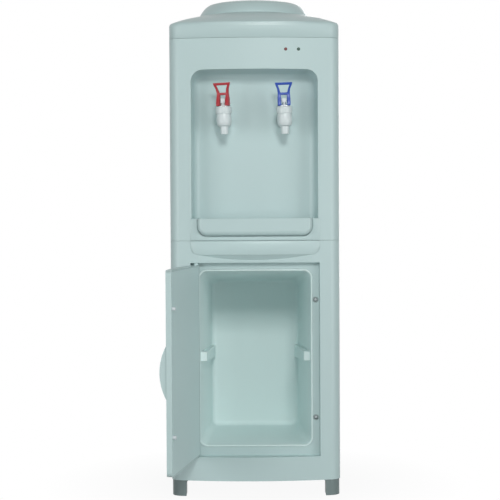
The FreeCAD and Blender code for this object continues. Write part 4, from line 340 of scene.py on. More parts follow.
class Modeller:
    """Small modelling steps on the active object."""

    DISC_SIDES = 24
    FACING = 0.9
    SMOOTH_ANGLE = math.radians(40)

    @staticmethod
    def clear() -> None:
        """Leave edit mode and select nothing."""
        if bpy.context.object and bpy.context.object.mode != "OBJECT":
            bpy.ops.object.mode_set(mode="OBJECT")
        bpy.ops.object.select_all(action="DESELECT")

    @classmethod
    def disc(cls, name: str, radius: float, height: float, place: Vector, axis: Vector) -> bpy.types.Object:
        """Short cylinder centred on a place, along an axis.

        Args:
            name: Name of the form.
            radius: Its radius.
            height: Its height along the axis.
            place: Its centre.
            axis: Way its own Z looks.

        Returns:
            The cylinder.
        """
        cls.clear()
        turn = axis.to_track_quat("Z", "Y").to_euler()
        bpy.ops.mesh.primitive_cylinder_add(
            vertices=cls.DISC_SIDES, radius=radius, depth=height, location=place, rotation=turn
        )
        made = bpy.context.object
        made.name = name
        return made

    @classmethod
    def block(cls, name: str, size: Vector, place: Vector) -> bpy.types.Object:
        """Box of a size, centred on a place that its mesh doesn't hold yet.

        Args:
            name: Name of the form.
            size: Its three lengths.
            place: Its centre.

        Returns:
            The box.
        """
        cls.clear()
        bpy.ops.mesh.primitive_cube_add(size=1.0, location=place)
        made = bpy.context.object
        made.name = name
        made.scale = size
        bpy.ops.object.transform_apply(location=False, rotation=False, scale=True)
        return made

    @staticmethod
    def unpick(kind: str) -> None:
        """Choose the kind of element to pick and pick none, ending in object mode.

        Args:
            kind: Select mode: VERT, EDGE or FACE.
        """
        bpy.ops.object.mode_set(mode="EDIT")
        bpy.ops.mesh.select_mode(type=kind)
        bpy.ops.mesh.select_all(action="DESELECT")
        bpy.ops.object.mode_set(mode="OBJECT")

    @classmethod
    def pick_faces(cls, test: Callable[[Vector, Vector], bool]) -> None:
        """Select the faces that pass a test, and go to edit mode.

        Args:
            test: Called with a face's centre and normal.
        """
        cls.unpick("FACE")
        for face in bpy.context.object.data.polygons:
            face.select = test(face.center, face.normal)
        bpy.ops.object.mode_set(mode="EDIT")

    @classmethod
    def pick_top(cls) -> None:
        """Select the faces that look along the form's own Z."""
        cls.pick_faces(lambda middle, normal: normal.z > cls.FACING)

    @classmethod
    def pick_edges(cls, test: Callable[[Vector, Vector], bool]) -> None:
        """Select the edges that pass a test, and go to edit mode.

        Args:
            test: Called with an edge's two ends.
        """
        cls.unpick("EDGE")
        mesh = bpy.context.object.data
        for edge in mesh.edges:
            start, end = (mesh.vertices[index].co for index in edge.vertices)
            edge.select = test(start, end)
        bpy.ops.object.mode_set(mode="EDIT")

    @classmethod
    def pick_points(cls, test: Callable[[Vector], bool]) -> None:
        """Select the points that pass a test, and go to edit mode.

        Args:
            test: Called with a point's place.
        """
        cls.unpick("VERT")
        for point in bpy.context.object.data.vertices:
            point.select = test(point.co)
        bpy.ops.object.mode_set(mode="EDIT")

    @staticmethod
    def push(offset: Vector) -> None:
        """Extrude what is picked by an offset."""
        bpy.ops.mesh.extrude_region_move(TRANSFORM_OT_translate={"value": offset})

    @classmethod
    def ring(cls, level: float, height: float, scale: float = 1.0) -> None:
        """Extrude the picked ring from one level to another and draw it in or out."""
        cls.push(Vector((0.0, 0.0, height - level)))
        bpy.ops.transform.resize(value=(scale, scale, 1.0), center_override=(0.0, 0.0, height))

    @staticmethod
    def face_out() -> None:
        """Turn all normals out, from edit mode, and go back to object mode."""
        bpy.ops.mesh.select_all(action="SELECT")
        bpy.ops.mesh.normals_make_consistent(inside=False)
        bpy.ops.object.mode_set(mode="OBJECT")

    @staticmethod
    def modify(made: bpy.types.Object, kind: str, **settings: object) -> None:
        """Give the active object a modifier and apply it.

        Args:
            made: The active object.
            kind: Type of the modifier.
            **settings: Properties of the modifier.
        """
        bpy.ops.object.mode_set(mode="OBJECT")
        step = made.modifiers.new(kind.lower(), kind)
        for name, setting in settings.items():
            setattr(step, name, setting)
        bpy.ops.object.modifier_apply(modifier=step.name)

    @classmethod
    def bevel(cls, made: bpy.types.Object, width: float, segments: int = 2) -> None:
        """Round every sharp edge."""
        cls.modify(made, "BEVEL", width=width, segments=segments, limit_method="ANGLE")

    @classmethod
    def settle(cls, made: bpy.types.Object, place: Matrix | None = None) -> None:
        """Put a form's place into its mesh, with normals out and smooth shading.

        Args:
            made: The active object.
            place: Further move, made before that.
        """
        bpy.ops.object.mode_set(mode="OBJECT")
        if place is not None:
            made.matrix_world = place @ made.matrix_world
        bpy.ops.object.transform_apply(location=True, rotation=True, scale=True)
        bpy.ops.object.mode_set(mode="EDIT")
        cls.face_out()
        bpy.ops.object.shade_smooth_by_angle(angle=cls.SMOOTH_ANGLE)

    @classmethod
    def joined(cls, name: str, pieces: Sequence[bpy.types.Object]) -> bpy.types.Object:
        """One object made of several.

        Args:
            name: Name of the whole.
            pieces: Objects to join; the first takes in the others.

        Returns:
            The whole.
        """
        cls.clear()
        for piece in pieces:
            piece.select_set(True)
        bpy.context.view_layer.objects.active = pieces[0]
        bpy.ops.object.join()
        pieces[0].name = name
        return pieces[0]

    @classmethod
    def repeated(cls, made: bpy.types.Object, places: Sequence[Vector]) -> bpy.types.Object:
        """A form at the first of some places, copied to the others and joined.

        Args:
            made: The form.
            places: All the places.

        Returns:
            The whole.
        """
        pieces = [made]
        for place in places[1:]:
            cls.clear()
            made.select_set(True)
            bpy.context.view_layer.objects.active = made
            bpy.ops.object.duplicate_move(TRANSFORM_OT_translate={"value": place - places[0]})
            pieces.append(bpy.context.object)
        return cls.joined(made.name, pieces)


class Workshop:
    """Shared finishes and the step that paints a piece and sets it on its moving body."""

    def __init__(self) -> None:
        """Open with an empty set of finishes."""
        self.finishes = FinishMaker()

    def dress(self, made: bpy.types.Object, finish: Finish, body: Body, slot: str) -> None:
        """Give a piece its finish and its moving body.

        Args:
            made: The piece.
            finish: Its finish.
            body: Body it rides on.
            slot: Material slot of the record; not used.
        """
        self._paint(made, finish)
        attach(made, body.value)

    def paint_nodes(self, nodes: dict[str, bpy.types.Object]) -> None:
        """Give every CAD node its finish.

        Args:
            nodes: The frame's nodes by name.
        """
        for finish, names in NODE_FINISH.items():
            for name in names:
                self._paint(nodes[name], finish)

    def _paint(self, made: bpy.types.Object, finish: Finish) -> None:
        """Put a finish on a piece, in place of any it has."""
        made.data.materials.clear()
        made.data.materials.append(self.finishes.material(finish))


@dataclass
class TopCover:
    """Cover with sloping shoulders round a domed collar, in place of the plainer one.

    Args:
        seam: Height of its lower edge.
        edge: Height of the crease between band and shoulders.
        foot: Height of the collar's foot.
        top: Height of the collar's crest.
        base: Radius of the collar's foot.
        crest: Radius of the collar's crest.
        bore: Radius of the collar's bore.
        ledge: Height of the ledge that carries the bottle seat.
        hole: Radius of the hole in that ledge.
        wall: Wall thickness.
        crease: Roundness of the creases.
        swell: How far the shoulders bulge, 0 being straight.
        cone: How far the collar tapers, 1 being a round bulge and 2 a cone.
        roll: Depth of the crest's roll into the bore.
    """

    seam: float = 0.862
    edge: float = 0.889
    foot: float = 0.917
    top: float = 0.941
    base: float = 0.107
    crest: float = 0.087
    bore: float = 0.079
    ledge: float = 0.905
    hole: float = 0.071
    wall: float = 0.003
    crease: float = 0.0025
    swell: float = 0.075
    cone: float = 1.4
    roll: float = 0.005

    NODE = "top_cover"
    COLUMNS = 240
    STEPS = 10
    FAR = 0.25
    # Shares of the crease's roundness.
    LIP = 0.2
    DRAWN_IN = 0.5
    HELD_ROWS = (3.0, 2.0, 1.0)

    def build(self, shop: Workshop) -> bpy.types.Object:
        """Band wrapped on the CAD cover's sides, bridged to a collar that is drawn up ring by ring.

        Args:
            shop: Workshop that dresses it.

        Returns:
            The finished cover.
        """
        cover = self._band()
        self._shoulders()
        self._collar()
        Modeller.face_out()
        Modeller.modify(cover, "SOLIDIFY", thickness=self.wall)
        Modeller.settle(cover)
        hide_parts(self.NODE)
        shop.dress(cover, COVER, Body.HOUSING, "cover_plastic")
        return cover

    def _band(self) -> bpy.types.Object:
        """Upright band with the CAD cover's outline, a soft lower edge and a soft crease on top.

        Returns:
            The band, with the ring of its crease picked.
        """
        lip = self.crease * self.LIP
        middle = (self.seam + self.edge) / 2
        low = self.seam + lip
        high, upper, last = (self.edge - self.crease * row for row in self.HELD_ROWS)
        Modeller.clear()
        bpy.ops.mesh.primitive_cylinder_add(
            vertices=self.COLUMNS, radius=self.FAR, depth=high - low, end_fill_type="NOTHING",
            location=(0.0, 0.0, (low + high) / 2),
        )
        cover = bpy.context.object
        cover.name = "shaped_top_cover"
        bpy.ops.object.transform_apply(location=True, rotation=False, scale=False)
        Modeller.modify(
            cover, "SHRINKWRAP", target=frame["nodes"][self.NODE], wrap_method="PROJECT",
            use_positive_direction=False, use_negative_direction=True,
        )
        Modeller.pick_points(lambda place: place.z < middle)
        Modeller.ring(low, self.seam, 1.0 - lip / self.FAR)
        Modeller.pick_points(lambda place: place.z > middle)
        Modeller.ring(high, upper)
        Modeller.ring(upper, last)
        Modeller.ring(last, self.edge, 1.0 - self.crease * self.DRAWN_IN / self.FAR)
        return cover

    def _shoulders(self) -> None:
        """Swelling slope from the crease to the collar's foot."""
        bpy.ops.mesh.primitive_circle_add(
            vertices=self.COLUMNS, radius=self.base, location=(0.0, 0.0, self.foot)
        )
        Modeller.pick_points(lambda place: place.z > self.edge - NEAR)
        bpy.ops.mesh.bridge_edge_loops(
            number_cuts=self.STEPS, interpolation="LINEAR",
            profile_shape="ROOT", profile_shape_factor=self.swell,
        )

    def _collar(self) -> None:
        """Tapered collar, its crest rolled into the bore, and the ledge at the bore's bottom."""
        rings = []
        turns = [math.pi / 2 * step / self.STEPS for step in range(1, self.STEPS + 1)]
        for turn in turns:
            radius = self.crest + (self.base - self.crest) * math.cos(turn) ** self.cone
            rings.append((radius, self.foot + (self.top - self.foot) * math.sin(turn) ** self.cone))
        for turn in turns:
            radius = self.crest - (self.crest - self.bore) * math.sin(turn)
            rings.append((radius, self.top - self.roll * (1.0 - math.cos(turn))))
        rings += [(self.bore, self.ledge), (self.hole, self.ledge)]
        Modeller.pick_points(lambda place: place.z > self.foot - NEAR)
        wide, level = self.base, self.foot
        for radius, height in rings:
            Modeller.ring(level, height, radius / wide)
            wide, level = radius, height


@dataclass(frozen=True)
class TapPlace:
    """Where a tap stands and how it leans.

    Args:
        crossing: Crossing of its upright and inlet axes, in metres.
        lean: Lean about its inlet, in degrees.
    """

    crossing: Vector
    lean: float = 2.0

    def at(self, height: float, yaw: float = 0.0) -> Matrix:
        """Place of a piece on the tap's upright axis.

        Args:
            height: Height over the crossing, in millimetres.
            yaw: Turn about that axis, in degrees.

        Returns:
            Matrix from the piece's own axes to the model's.
        """
        place = Matrix.Translation(self.crossing) @ Matrix.Rotation(math.radians(-self.lean), 4, "Y")
        place = place @ Matrix.Rotation(math.radians(yaw), 4, "Z")
        return place @ Matrix.Translation(Vector((0.0, 0.0, height * MM)))


@dataclass(frozen=True)
class LeverRow:
    """One level of a lever frame, in millimetres.

    Args:
        height: Level above the heel.
        outer: Half width of the frame.
        inner: Half width of the gap between its sides.
        front: Front face, forward being negative.
        back: Back face.
    """

    height: float
    outer: float
    inner: float
    front: float
    back: float

    def section(self) -> Vector:
        """Width and depth of one side at this level, in metres."""
        return Vector((self.outer - self.inner, self.back - self.front, 0.0)) * MM

    def centre(self) -> Vector:
        """Middle of one side at this level, in metres."""
        return Vector(((self.outer + self.inner) / 2, (self.back + self.front) / 2, self.height)) * MM


@dataclass
class Lever:
    """Rounded lever frame of a tap, in place of the plain one.

    Args:
        node: CAD lever it stands for.
        body: Moving body it rides on.
        finish: Its colour.
        slot: Material slot of the record.
        tap: Tap it belongs to.
        yaw: Turn about the stem, in degrees.
        heel: Height of its heel over the tap's crossing, in millimetres.
        rounding: Radius of its edges, in metres.
    """

    node: str
    body: Body
    finish: Finish
    slot: str
    tap: TapPlace
    yaw: float
    heel: float = 27.2
    rounding: float = 0.0009

    ROWS = (
        LeverRow(0.0, 12.0, 5.6, -8.8, 5.4),
        LeverRow(4.0, 12.0, 5.6, -8.8, 5.5),
        LeverRow(12.0, 12.0, 5.6, -6.2, 5.4),
        LeverRow(20.4, 11.6, 5.8, -3.8, 3.2),
        LeverRow(24.8, 11.4, 6.4, -4.0, 2.0),
        LeverRow(31.0, 12.2, 8.0, -6.1, -0.5),
        LeverRow(35.5, 13.9, 9.6, -7.5, -2.2),
        LeverRow(38.6, 15.4, 11.0, -8.5, -3.4),
        LeverRow(43.0, 16.5, 12.0, -9.9, -5.0),
    )
    BAR_ROWS = (3, 7)
    INWARD = -0.7
    SEGMENTS = 3

    def build(self, shop: Workshop) -> bpy.types.Object:
        """One side with its half bars, mirrored, rounded and set on the tap.

        Args:
            shop: Workshop that dresses it.

        Returns:
            The finished lever.
        """
        frame_piece = self._side()
        self._bars(frame_piece)
        Modeller.bevel(frame_piece, self.rounding, self.SEGMENTS)
        Modeller.settle(frame_piece, self.tap.at(self.heel, self.yaw))
        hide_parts(self.node)
        shop.dress(frame_piece, self.finish, self.body, self.slot)
        return frame_piece

    def _side(self) -> bpy.types.Object:
        """Right side of the frame, extruded level by level from its heel.

        Returns:
            That side.
        """
        first, second = self.ROWS[:2]
        size = first.section()
        size.z = (second.height - first.height) * MM
        middle = first.centre() + Vector((0.0, 0.0, size.z / 2))
        side = Modeller.block(self.node + "_frame", size, middle)
        bpy.ops.object.transform_apply(location=True, rotation=False, scale=False)
        Modeller.pick_top()
        for below, row in zip(self.ROWS[1:], self.ROWS[2:]):
            Modeller.push(row.centre() - below.centre())
            old, new = below.section(), row.section()
            widening = (new.x / old.x, new.y / old.y, 1.0)
            bpy.ops.transform.resize(value=widening, center_override=row.centre())
        return side

    def _bars(self, side: bpy.types.Object) -> None:
        """Cross bars: inner faces of two levels drawn to the middle, and the whole mirrored.

        Args:
            side: Right side of the frame.
        """
        for number in self.BAR_ROWS:
            low, high = self.ROWS[number].height * MM, self.ROWS[number + 1].height * MM
            Modeller.pick_faces(lambda middle, normal: normal.x < self.INWARD and low < middle.z < high)
            Modeller.push(Vector((-self.ROWS[number].inner * MM, 0.0, 0.0)))
            bpy.ops.transform.resize(value=(0.0, 1.0, 1.0), center_override=(0.0, 0.0, 0.0))
            bpy.ops.mesh.delete(type="FACE")
        Modeller.modify(side, "MIRROR")


@dataclass
class CapSleeve:
    """Smooth sleeve with level grooves over a tap's cap, in millimetres.

    Args:
        name: Name of the piece.
        tap: Tap it belongs to.
        foot: Height of its lower edge over the tap's crossing.
        wall: Wall thickness.
    """

    name: str
    tap: TapPlace
    foot: float = 12.9
    wall: float = 0.5

    RINGS = (
        (14.8, 0.0), (15.1, 0.3), (15.1, 2.2), (14.7, 2.5), (14.7, 3.0), (15.1, 3.3), (15.1, 6.6),
        (14.8, 6.8), (14.8, 7.1), (15.1, 7.3), (15.1, 10.6), (14.9, 11.3), (14.5, 11.7),
    )
    COLUMNS = 48

    def build(self, shop: Workshop) -> bpy.types.Object:
        """Circle drawn up ring by ring, given a wall and set on the tap.

        Args:
            shop: Workshop that dresses it.

        Returns:
            The finished sleeve.
        """
        radius, level = self.RINGS[0]
        Modeller.clear()
        bpy.ops.mesh.primitive_circle_add(vertices=self.COLUMNS, radius=radius * MM)
        sleeve = bpy.context.object
        sleeve.name = self.name
        Modeller.pick_points(lambda place: True)
        for wide, height in self.RINGS[1:]:
            Modeller.ring(level * MM, height * MM, wide / radius)
            radius, level = wide, height
        Modeller.face_out()
        Modeller.modify(sleeve, "SOLIDIFY", thickness=self.wall * MM)
        Modeller.settle(sleeve, self.tap.at(self.foot))
        shop.dress(sleeve, TAP, Body.HOUSING, "tap_plastic")
        return sleeve


@dataclass
class Screws:
    """Pan-head screws with a round recess in the crown.

    Args:
        name: Name of the joined piece.
        places: Where each head sits, in metres.
        axis: Way the heads face.
        radius: Head radius in metres.
        height: Head height in metres.
    """

    name: str
    places: Sequence[Vector]
    axis: Vector
    radius: float = 0.0036
    height: float = 0.0018

    # Shares of the head's radius and height.
    CROWN_INSET = 0.25
    CROWN_RISE = 0.3
    FLAT_INSET = 0.35
    RECESS_INSET = 0.1
    RECESS_DROP = 0.6
    ROUNDING = 0.12

    def build(self, shop: Workshop, body: Body) -> bpy.types.Object:
        """One head, copied to all places and joined.

        Args:
            shop: Workshop that dresses it.
            body: Body the screws ride on.

        Returns:
            The finished piece.
        """
        made = Modeller.repeated(self._head(), self.places)
        Modeller.settle(made)
        shop.dress(made, STEEL, body, "stainless")
        return made

    def _head(self) -> bpy.types.Object:
        """First head: a short cylinder, drawn in and rounded, with a sunk recess.

        Returns:
            The head.
        """
        centre = self.places[0] + self.axis * (self.height / 2)
        head = Modeller.disc(self.name, self.radius, self.height, centre, self.axis)
        Modeller.pick_top()
        bpy.ops.mesh.inset(thickness=self.radius * self.CROWN_INSET)
        bpy.ops.transform.translate(value=self.axis * (self.height * self.CROWN_RISE))
        bpy.ops.mesh.inset(thickness=self.radius * self.FLAT_INSET)
        bpy.ops.mesh.inset(thickness=self.radius * self.RECESS_INSET)
        bpy.ops.transform.translate(value=self.axis * (-self.height * self.RECESS_DROP))
        Modeller.bevel(head, self.radius * self.ROUNDING)
        return head


@dataclass
class RockerMarks:
    """On bar and off ring of a rear switch, half sunk in the rocker's two faces.

    Args:
        node: CAD rocker they sit on.
        body: Moving body they ride on.
        ring_drop: Ring's centre below the top of the rocker's box.
        ring_depth: Ring's centre in front of the back of that box.
        bar_drop: Bar's centre below the top of the box.
        bar_depth: Bar's centre in front of the back of the box.
        lean: Lean of the rocker's upper face, in degrees.
    """

    node: str
    body: Body
    ring_drop: float = 0.01446
    ring_depth: float = 0.00250
    bar_drop: float = 0.00555
    bar_depth: float = 0.00125
    lean: float = 16.0

    RING = 0.0016
    RING_STEPS = 32
    LINE = 0.00025
    LINE_STEPS = 8
    BAR = Vector((0.0006, 0.0005, 0.0034))
    BAR_ROUNDING = 0.000125

    def build(self, shop: Workshop) -> bpy.types.Object:
        """Ring and bar, joined.

        Args:
            shop: Workshop that dresses it.

        Returns:
            The finished marks.
        """
        low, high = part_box(self.node)
        middle = (low.x + high.x) / 2
        Modeller.clear()
        bpy.ops.mesh.primitive_torus_add(
            major_radius=self.RING, minor_radius=self.LINE,
            major_segments=self.RING_STEPS, minor_segments=self.LINE_STEPS,
            location=(middle, high.y - self.ring_depth, high.z - self.ring_drop),
            rotation=(math.pi / 2, 0.0, 0.0),
        )
        ring = bpy.context.object
        place = Vector((middle, high.y - self.bar_depth, high.z - self.bar_drop))
        bar = Modeller.block(self.node + "_bar", self.BAR, place)
        bar.rotation_euler.x = -math.radians(self.lean)
        Modeller.bevel(bar, self.BAR_ROUNDING)
        made = Modeller.joined(self.node + "_marks", [ring, bar])
        Modeller.settle(made)
        shop.dress(made, WHITE, self.body, "white_plastic")
        return made


@dataclass
class BrowPlate:
    """Slightly raised band over the cabinet, with rounded lower corners, on the bowed front.

    Args:
        half_width: Half of its width.
        bottom: Height of its lower edge.
        top: Height of its upper edge.
        front: Foremost line of the panel it lies on.
        corner: Radius of its lower corners.
        bow: Radius of the bowed front.
        proud: How far it stands out.
    """

    half_width: float
    bottom: float
    top: float
    front: float
    corner: float = 0.015
    bow: float = 0.700
    proud: float = 0.0009

    COLUMNS = 60
    # Shares of how far it stands out.
    EDGE_SHARE = 0.45
    DEPTH_SHARE = 1.5

    def build(self, shop: Workshop) -> bpy.types.Object:
        """Plate laid on the bow, with soft edges."""
        return self._finished(self._laid("brow_plate"), shop)

    def _finished(self, plate: bpy.types.Object, shop: Workshop) -> bpy.types.Object:
        """Soft edges, normals and finish.

        Args:
            plate: The laid plate.
            shop: Workshop that dresses it.

        Returns:
            The finished plate.
        """
        Modeller.bevel(plate, self.proud * self.EDGE_SHARE)
        Modeller.settle(plate)
        shop.dress(plate, MINT, Body.HOUSING, "mint_plastic")
        return plate

    def _laid(self, name: str) -> bpy.types.Object:
        """Upright grid laid on the bow, given its corners and a thickness.

        Args:
            name: Name of the plate.

        Returns:
            The plate.
        """
        Modeller.clear()
        bpy.ops.mesh.primitive_grid_add(
            x_subdivisions=self.COLUMNS, y_subdivisions=1, size=1.0, rotation=(math.pi / 2, 0.0, 0.0)
        )
        plate = bpy.context.object
        plate.name = name
        plate.scale = (2.0 * self.half_width, self.top - self.bottom, 1.0)
        plate.location = (0.0, self.front - self.proud, (self.top + self.bottom) / 2)
        bpy.ops.object.transform_apply(location=True, rotation=True, scale=True)
        for column in range(self.COLUMNS + 1):
            across = self.half_width * (2.0 * column / self.COLUMNS - 1.0)
            Modeller.pick_points(lambda place: abs(place.x - across) < MM)
            bpy.ops.transform.translate(value=(0.0, self._sag(across), 0.0))
            Modeller.pick_points(lambda place: abs(place.x - across) < MM and place.z < self.bottom + MM)
            bpy.ops.transform.translate(value=(0.0, 0.0, self._rise(across)))
        Modeller.pick_faces(lambda middle, normal: True)
        Modeller.push(Vector((0.0, self.proud * self.DEPTH_SHARE, 0.0)))
        Modeller.face_out()
        return plate

    def _sag(self, across: float) -> float:
        """How far the bowed front lies back at a distance from the middle."""
        return self.bow - math.sqrt(self.bow ** 2 - across ** 2)

    def _rise(self, across: float) -> float:
        """How far the lower edge rises at a distance from the middle, round its corners."""
        past = max(0.0, abs(across) - (self.half_width - self.corner))
        return self.corner - math.sqrt(max(0.0, self.corner ** 2 - past ** 2))


@dataclass
class TraySurround(BrowPlate):
    """Slightly raised band round the drip tray, from the bay's edge down to the seam.

    Args:
        tray_half: Half width of the window left for the tray.
        tray_foot: Height of that window's lower edge.
        tray_corner: Radius of its lower corners.
        deep: Depth and height of the tool that cuts it.
    """

    tray_half: float = 0.1093
    tray_foot: float = 0.4902
    tray_corner: float = 0.0198
    deep: float = 0.2

    CORNER_STEPS = 10

    def build(self, shop: Workshop) -> bpy.types.Object:
        """Plate laid on the bow, with the tray's window cut out of it.

        Args:
            shop: Workshop that dresses it.

        Returns:
            The finished plate.
        """
        plate = self._laid("tray_surround")
        window = self._window()
        Modeller.clear()
        plate.select_set(True)
        bpy.context.view_layer.objects.active = plate
        Modeller.modify(plate, "BOOLEAN", operation="DIFFERENCE", object=window)
        bpy.data.objects.remove(window)
        return self._finished(plate, shop)

    def _window(self) -> bpy.types.Object:
        """Block as wide as the window, with its two lower corners rounded.

        Returns:
            The block, whose mesh is still centred on its own origin.
        """
        size = Vector((2.0 * self.tray_half, self.deep, self.deep))
        middle = Vector((0.0, self.front, self.tray_foot + self.deep / 2))
        window = Modeller.block("tray_window", size, middle)
        Modeller.pick_edges(
            lambda start, end: start.z < 0.0 and end.z < 0.0 and abs(start.y - end.y) > self.deep / 2
        )
        bpy.ops.mesh.bevel(offset=self.tray_corner, segments=self.CORNER_STEPS, affect="EDGES")
        bpy.ops.object.mode_set(mode="OBJECT")
        return window


@dataclass
class CatchButtons:
    """Bright sprung buttons at the bottom of the door's catch sockets.

    Args:
        centres: Middle of each socket's bottom, in metres.
        radius: Button radius in metres.
        height: Button height in metres.
    """

    centres: Sequence[Vector]
    radius: float = 0.0028
    height: float = 0.0042

    AXIS = Vector((0.0, -1.0, 0.0))
    # Shares of the button's radius.
    DOME_INSET = 0.4
    DOME_RISE = 0.18
    ROUNDING = 0.12

    def build(self, shop: Workshop) -> bpy.types.Object:
        """One domed disc that faces the door, copied to all sockets and joined.

        Args:
            shop: Workshop that dresses it.

        Returns:
            The finished piece.
        """
        made = Modeller.repeated(self._button(), self.centres)
        Modeller.settle(made)
        shop.dress(made, WHITE, Body.HOUSING, "white_plastic")
        return made

    def _button(self) -> bpy.types.Object:
        """First button: a disc with its face drawn in to a shallow dome.

        Returns:
            The button.
        """
        centre = self.centres[0] + self.AXIS * (self.height / 2)
        button = Modeller.disc("catch_buttons", self.radius, self.height, centre, self.AXIS)
        Modeller.pick_top()
        bpy.ops.mesh.inset(thickness=self.radius * self.DOME_INSET)
        bpy.ops.transform.translate(value=self.AXIS * (self.radius * self.DOME_RISE))
        Modeller.bevel(button, self.radius * self.ROUNDING)
        return button


@dataclass(frozen=True)
class Lamp:
    """One area light, turned to the middle of the object.

    Args:
        name: Its name.
        place: Where it hangs.
        size: Length of its sides.
        power: Its power in watts.
        colour: Its colour.
    """

    name: str
    place: Vector
    size: float
    power: float
    colour: Colour

    AIM = Vector((0.0, 0.0, 0.5))

    def hang(self) -> None:
        """Add the light to the scene."""
        Modeller.clear()
        bpy.ops.object.light_add(type="AREA", location=self.place)
        lamp = bpy.context.object
        lamp.name = self.name
        lamp.data.size = self.size
        lamp.data.energy = self.power
        lamp.data.color = self.colour
        lamp.rotation_euler = (self.AIM - self.place).to_track_quat("-Z", "Y").to_euler()


class Stage:
    """Floor, backdrop, light and camera."""

    CAMERA_PLACE = Vector((-0.0095, -2.81, 0.54))
    LENS = 102.0
    SENSOR = 36.0
    TILT = -1.617
    ROLL = -0.3
    VIEW_END = 100.0
    WHITE = (1.0, 1.0, 1.0, 1.0)
    PAPER = 1.0
    FLOOR_SIZE = 40.0
    FLOOR_DROP = 0.0004
    FLOOR_GREY = (0.5, 0.5, 0.5, 1.0)
    CONTACT = 0.93
    CONTACT_FROM = 0.16
    CONTACT_TO = 0.42
    FILL_TINT = (0.98, 1.0, 1.0, 1.0)
    FILL = 0.18
    SHOWING = ("Is Camera Ray", "Is Glossy Ray", "Is Transmission Ray")
    # The key hangs above the camera, the fills at both sides of it and weakly behind.
    LAMPS = (
        Lamp("key", Vector((0.45, -4.8, 2.55)), 1.0, 87.0, (1.0, 1.0, 0.99)),
        Lamp("left_fill", Vector((-2.2, -2.4, 0.55)), 1.4, 26.0, (0.99, 1.0, 1.0)),
        Lamp("right_fill", Vector((2.2, -2.4, 0.55)), 1.4, 27.0, (0.99, 1.0, 1.0)),
        Lamp("back_fill", Vector((0.9, 3.6, 1.1)), 2.0, 55.0, (1.0, 1.0, 1.0)),
    )

    def build(self) -> None:
        """Set up everything round the object."""
        self._paper()
        self._world()
        for lamp in self.LAMPS:
            lamp.hang()
        self._camera()

    def _paper(self) -> None:
        """White floor that catches a faint shadow close to the object."""
        Modeller.clear()
        bpy.ops.mesh.primitive_plane_add(size=self.FLOOR_SIZE, location=(0.0, 0.0, -self.FLOOR_DROP))
        floor = bpy.context.object
        floor.name = "floor"
        material = bpy.data.materials.new("paper")
        material.use_nodes = True
        graph = Graph(material.node_tree)
        matt = graph.value("ShaderNodeBsdfDiffuse", 0, {"Color": self.FLOOR_GREY})
        white = graph.value("ShaderNodeEmission", 0, {"Color": self.WHITE, "Strength": self.PAPER})
        seen = self._seen(graph)
        place = graph.value("ShaderNodeTexCoord", "Object")
        reach = graph.value("ShaderNodeVectorMath", "Value", {0: place}, operation="LENGTH")
        fade = graph.value(
            "ShaderNodeMapRange", 0,
            {
                "Value": reach,
                "From Min": self.CONTACT_FROM,
                "From Max": self.CONTACT_TO,
                "To Min": self.CONTACT,
                "To Max": 1.0,
            },
        )
        mixed = graph.value("ShaderNodeMixShader", 0, {0: seen * fade, 1: matt, 2: white})
        graph.node("ShaderNodeOutputMaterial", {"Surface": mixed})
        floor.data.materials.append(material)

    def _seen(self, graph: Graph) -> Value:
        """One for rays that show the surround, straight, mirrored or let through.

        Args:
            graph: Node tree that asks.

        Returns:
            The answer, zero for all other rays.
        """
        rays = graph.node("ShaderNodeLightPath").outputs
        straight, mirrored, through = (Value(graph, rays[name]) for name in self.SHOWING)
        return straight + mirrored + through

    def _world(self) -> None:
        """White surround for the rays that show it, soft fill for the object."""
        world = bpy.data.worlds.new("surround")
        bpy.context.scene.world = world
        world.use_nodes = True
        graph = Graph(world.node_tree)
        seen = self._seen(graph)
        fill = graph.value("ShaderNodeBackground", 0, {"Color": self.FILL_TINT, "Strength": self.FILL})
        white = graph.value("ShaderNodeBackground", 0, {"Color": self.WHITE, "Strength": self.PAPER})
        mixed = graph.value("ShaderNodeMixShader", 0, {0: seen, 1: fill, 2: white})
        graph.node("ShaderNodeOutputWorld", {"Surface": mixed})

    def _camera(self) -> None:
        """Camera in front of the object, a little tilted and rolled as in the photograph."""
        Modeller.clear()
        bpy.ops.object.camera_add(location=self.CAMERA_PLACE)
        camera = bpy.context.object
        camera.data.lens = self.LENS
        camera.data.sensor_width = self.SENSOR
        upright = Matrix.Rotation(math.radians(90.0 + self.TILT), 4, "X")
        turn = upright @ Matrix.Rotation(math.radians(self.ROLL), 4, "Z")
        camera.rotation_euler = turn.to_euler()
        camera.data.clip_end = self.VIEW_END
        bpy.context.scene.camera = camera
        bpy.context.scene.view_settings.view_transform = "Standard"


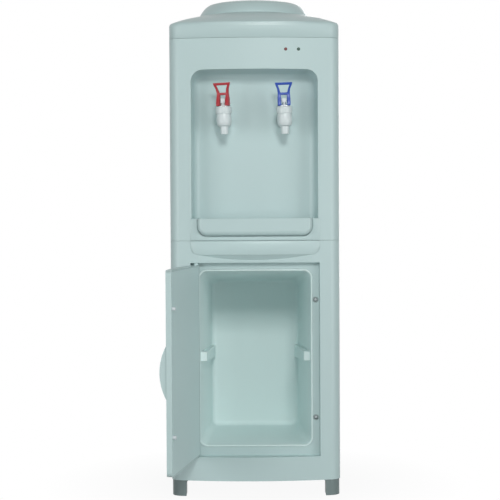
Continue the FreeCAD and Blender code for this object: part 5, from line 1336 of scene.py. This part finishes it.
class Dispenser:
    """All added pieces of the water dispenser."""

    TAP_X = 0.057
    TAP_Y = -0.146
    TAP_Z = 0.708
    HOT_YAW = -16.0
    COLD_YAW = 2.0
    SOCKET_WALL = 0.0012
    BROW_HALF = 0.1215
    BROW_Z = 0.4562
    BROW_SEAM = 0.0007
    SCREW_X = 0.140
    SCREW_AXIS = Vector((0.0, 1.0, 0.0))
    SCREW_SHARES = (0.05, 0.35, 0.65, 0.95)

    def __init__(self) -> None:
        """Open the workshop that all pieces share."""
        self.shop = Workshop()

    def build(self) -> Iterator[bpy.types.Object]:
        """Paint the CAD nodes and add the detail pieces.

        Returns:
            The added pieces, each as it is finished.
        """
        shop = self.shop
        shop.paint_nodes(frame["nodes"])
        yield TopCover().build(shop)
        hot = TapPlace(Vector((-self.TAP_X, self.TAP_Y, self.TAP_Z)))
        cold = TapPlace(Vector((self.TAP_X, self.TAP_Y, self.TAP_Z)))
        yield Lever("hot_tap_lever", Body.HOT_LEVER, RED, "red_plastic", hot, self.HOT_YAW).build(shop)
        yield Lever("cold_tap_lever", Body.COLD_LEVER, BLUE, "blue_plastic", cold, self.COLD_YAW).build(shop)
        yield CapSleeve("hot_cap_sleeve", hot).build(shop)
        yield CapSleeve("cold_cap_sleeve", cold).build(shop)
        yield self._rear_screws()
        yield self._catch_buttons()
        yield self._brow_plate()
        yield self._tray_surround()
        yield RockerMarks("hot_switch_rocker", Body.HOT_ROCKER).build(shop)
        yield RockerMarks("cold_switch_rocker", Body.COLD_ROCKER).build(shop)

    def _rear_screws(self) -> bpy.types.Object:
        """Screws along the back's side flanges.

        Returns:
            The screws.
        """
        low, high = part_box("back_panel")
        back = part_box("right_side_panel")[1].y
        heights = [low.z + (high.z - low.z) * share for share in self.SCREW_SHARES]
        sides = (-self.SCREW_X, self.SCREW_X)
        places = [Vector((side, back, height)) for side in sides for height in heights]
        return Screws("rear_screws", places, self.SCREW_AXIS).build(self.shop, Body.HOUSING)

    def _catch_buttons(self) -> bpy.types.Object:
        """One button at the bottom of each catch socket.

        Returns:
            The buttons.
        """
        low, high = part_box("catch_sockets")
        rim = (high.x - low.x) / 2
        bottom = high.y - self.SOCKET_WALL
        centres = [Vector((low.x + rim, bottom, height)) for height in (low.z + rim, high.z - rim)]
        return CatchButtons(centres).build(self.shop)

    def _brow_plate(self) -> bpy.types.Object:
        """Band between the panel's top edge and the scoop over the cabinet."""
        low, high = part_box("lower_front_panel")
        return BrowPlate(self.BROW_HALF, self.BROW_Z, high.z - self.BROW_SEAM, low.y).build(self.shop)

    def _tray_surround(self) -> bpy.types.Object:
        """Band round the drip tray, down to the seam between the panels.

        Returns:
            The band.
        """
        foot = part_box("upper_front_panel")[0]
        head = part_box("drip_tray")[1].z - self.BROW_SEAM
        band = TraySurround(self.BROW_HALF, foot.z + self.BROW_SEAM, head, foot.y, corner=0.0)
        return band.build(self.shop)


def main() -> None:
    """Build the pieces in order, report each one, and set up the stage."""
    logging.basicConfig(level=logging.INFO)
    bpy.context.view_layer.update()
    for piece in Dispenser().build():
        LOG.info("built %s", piece.name)
    Stage().build()
    LOG.info("stage built")


if __name__ == "__main__":
    main()
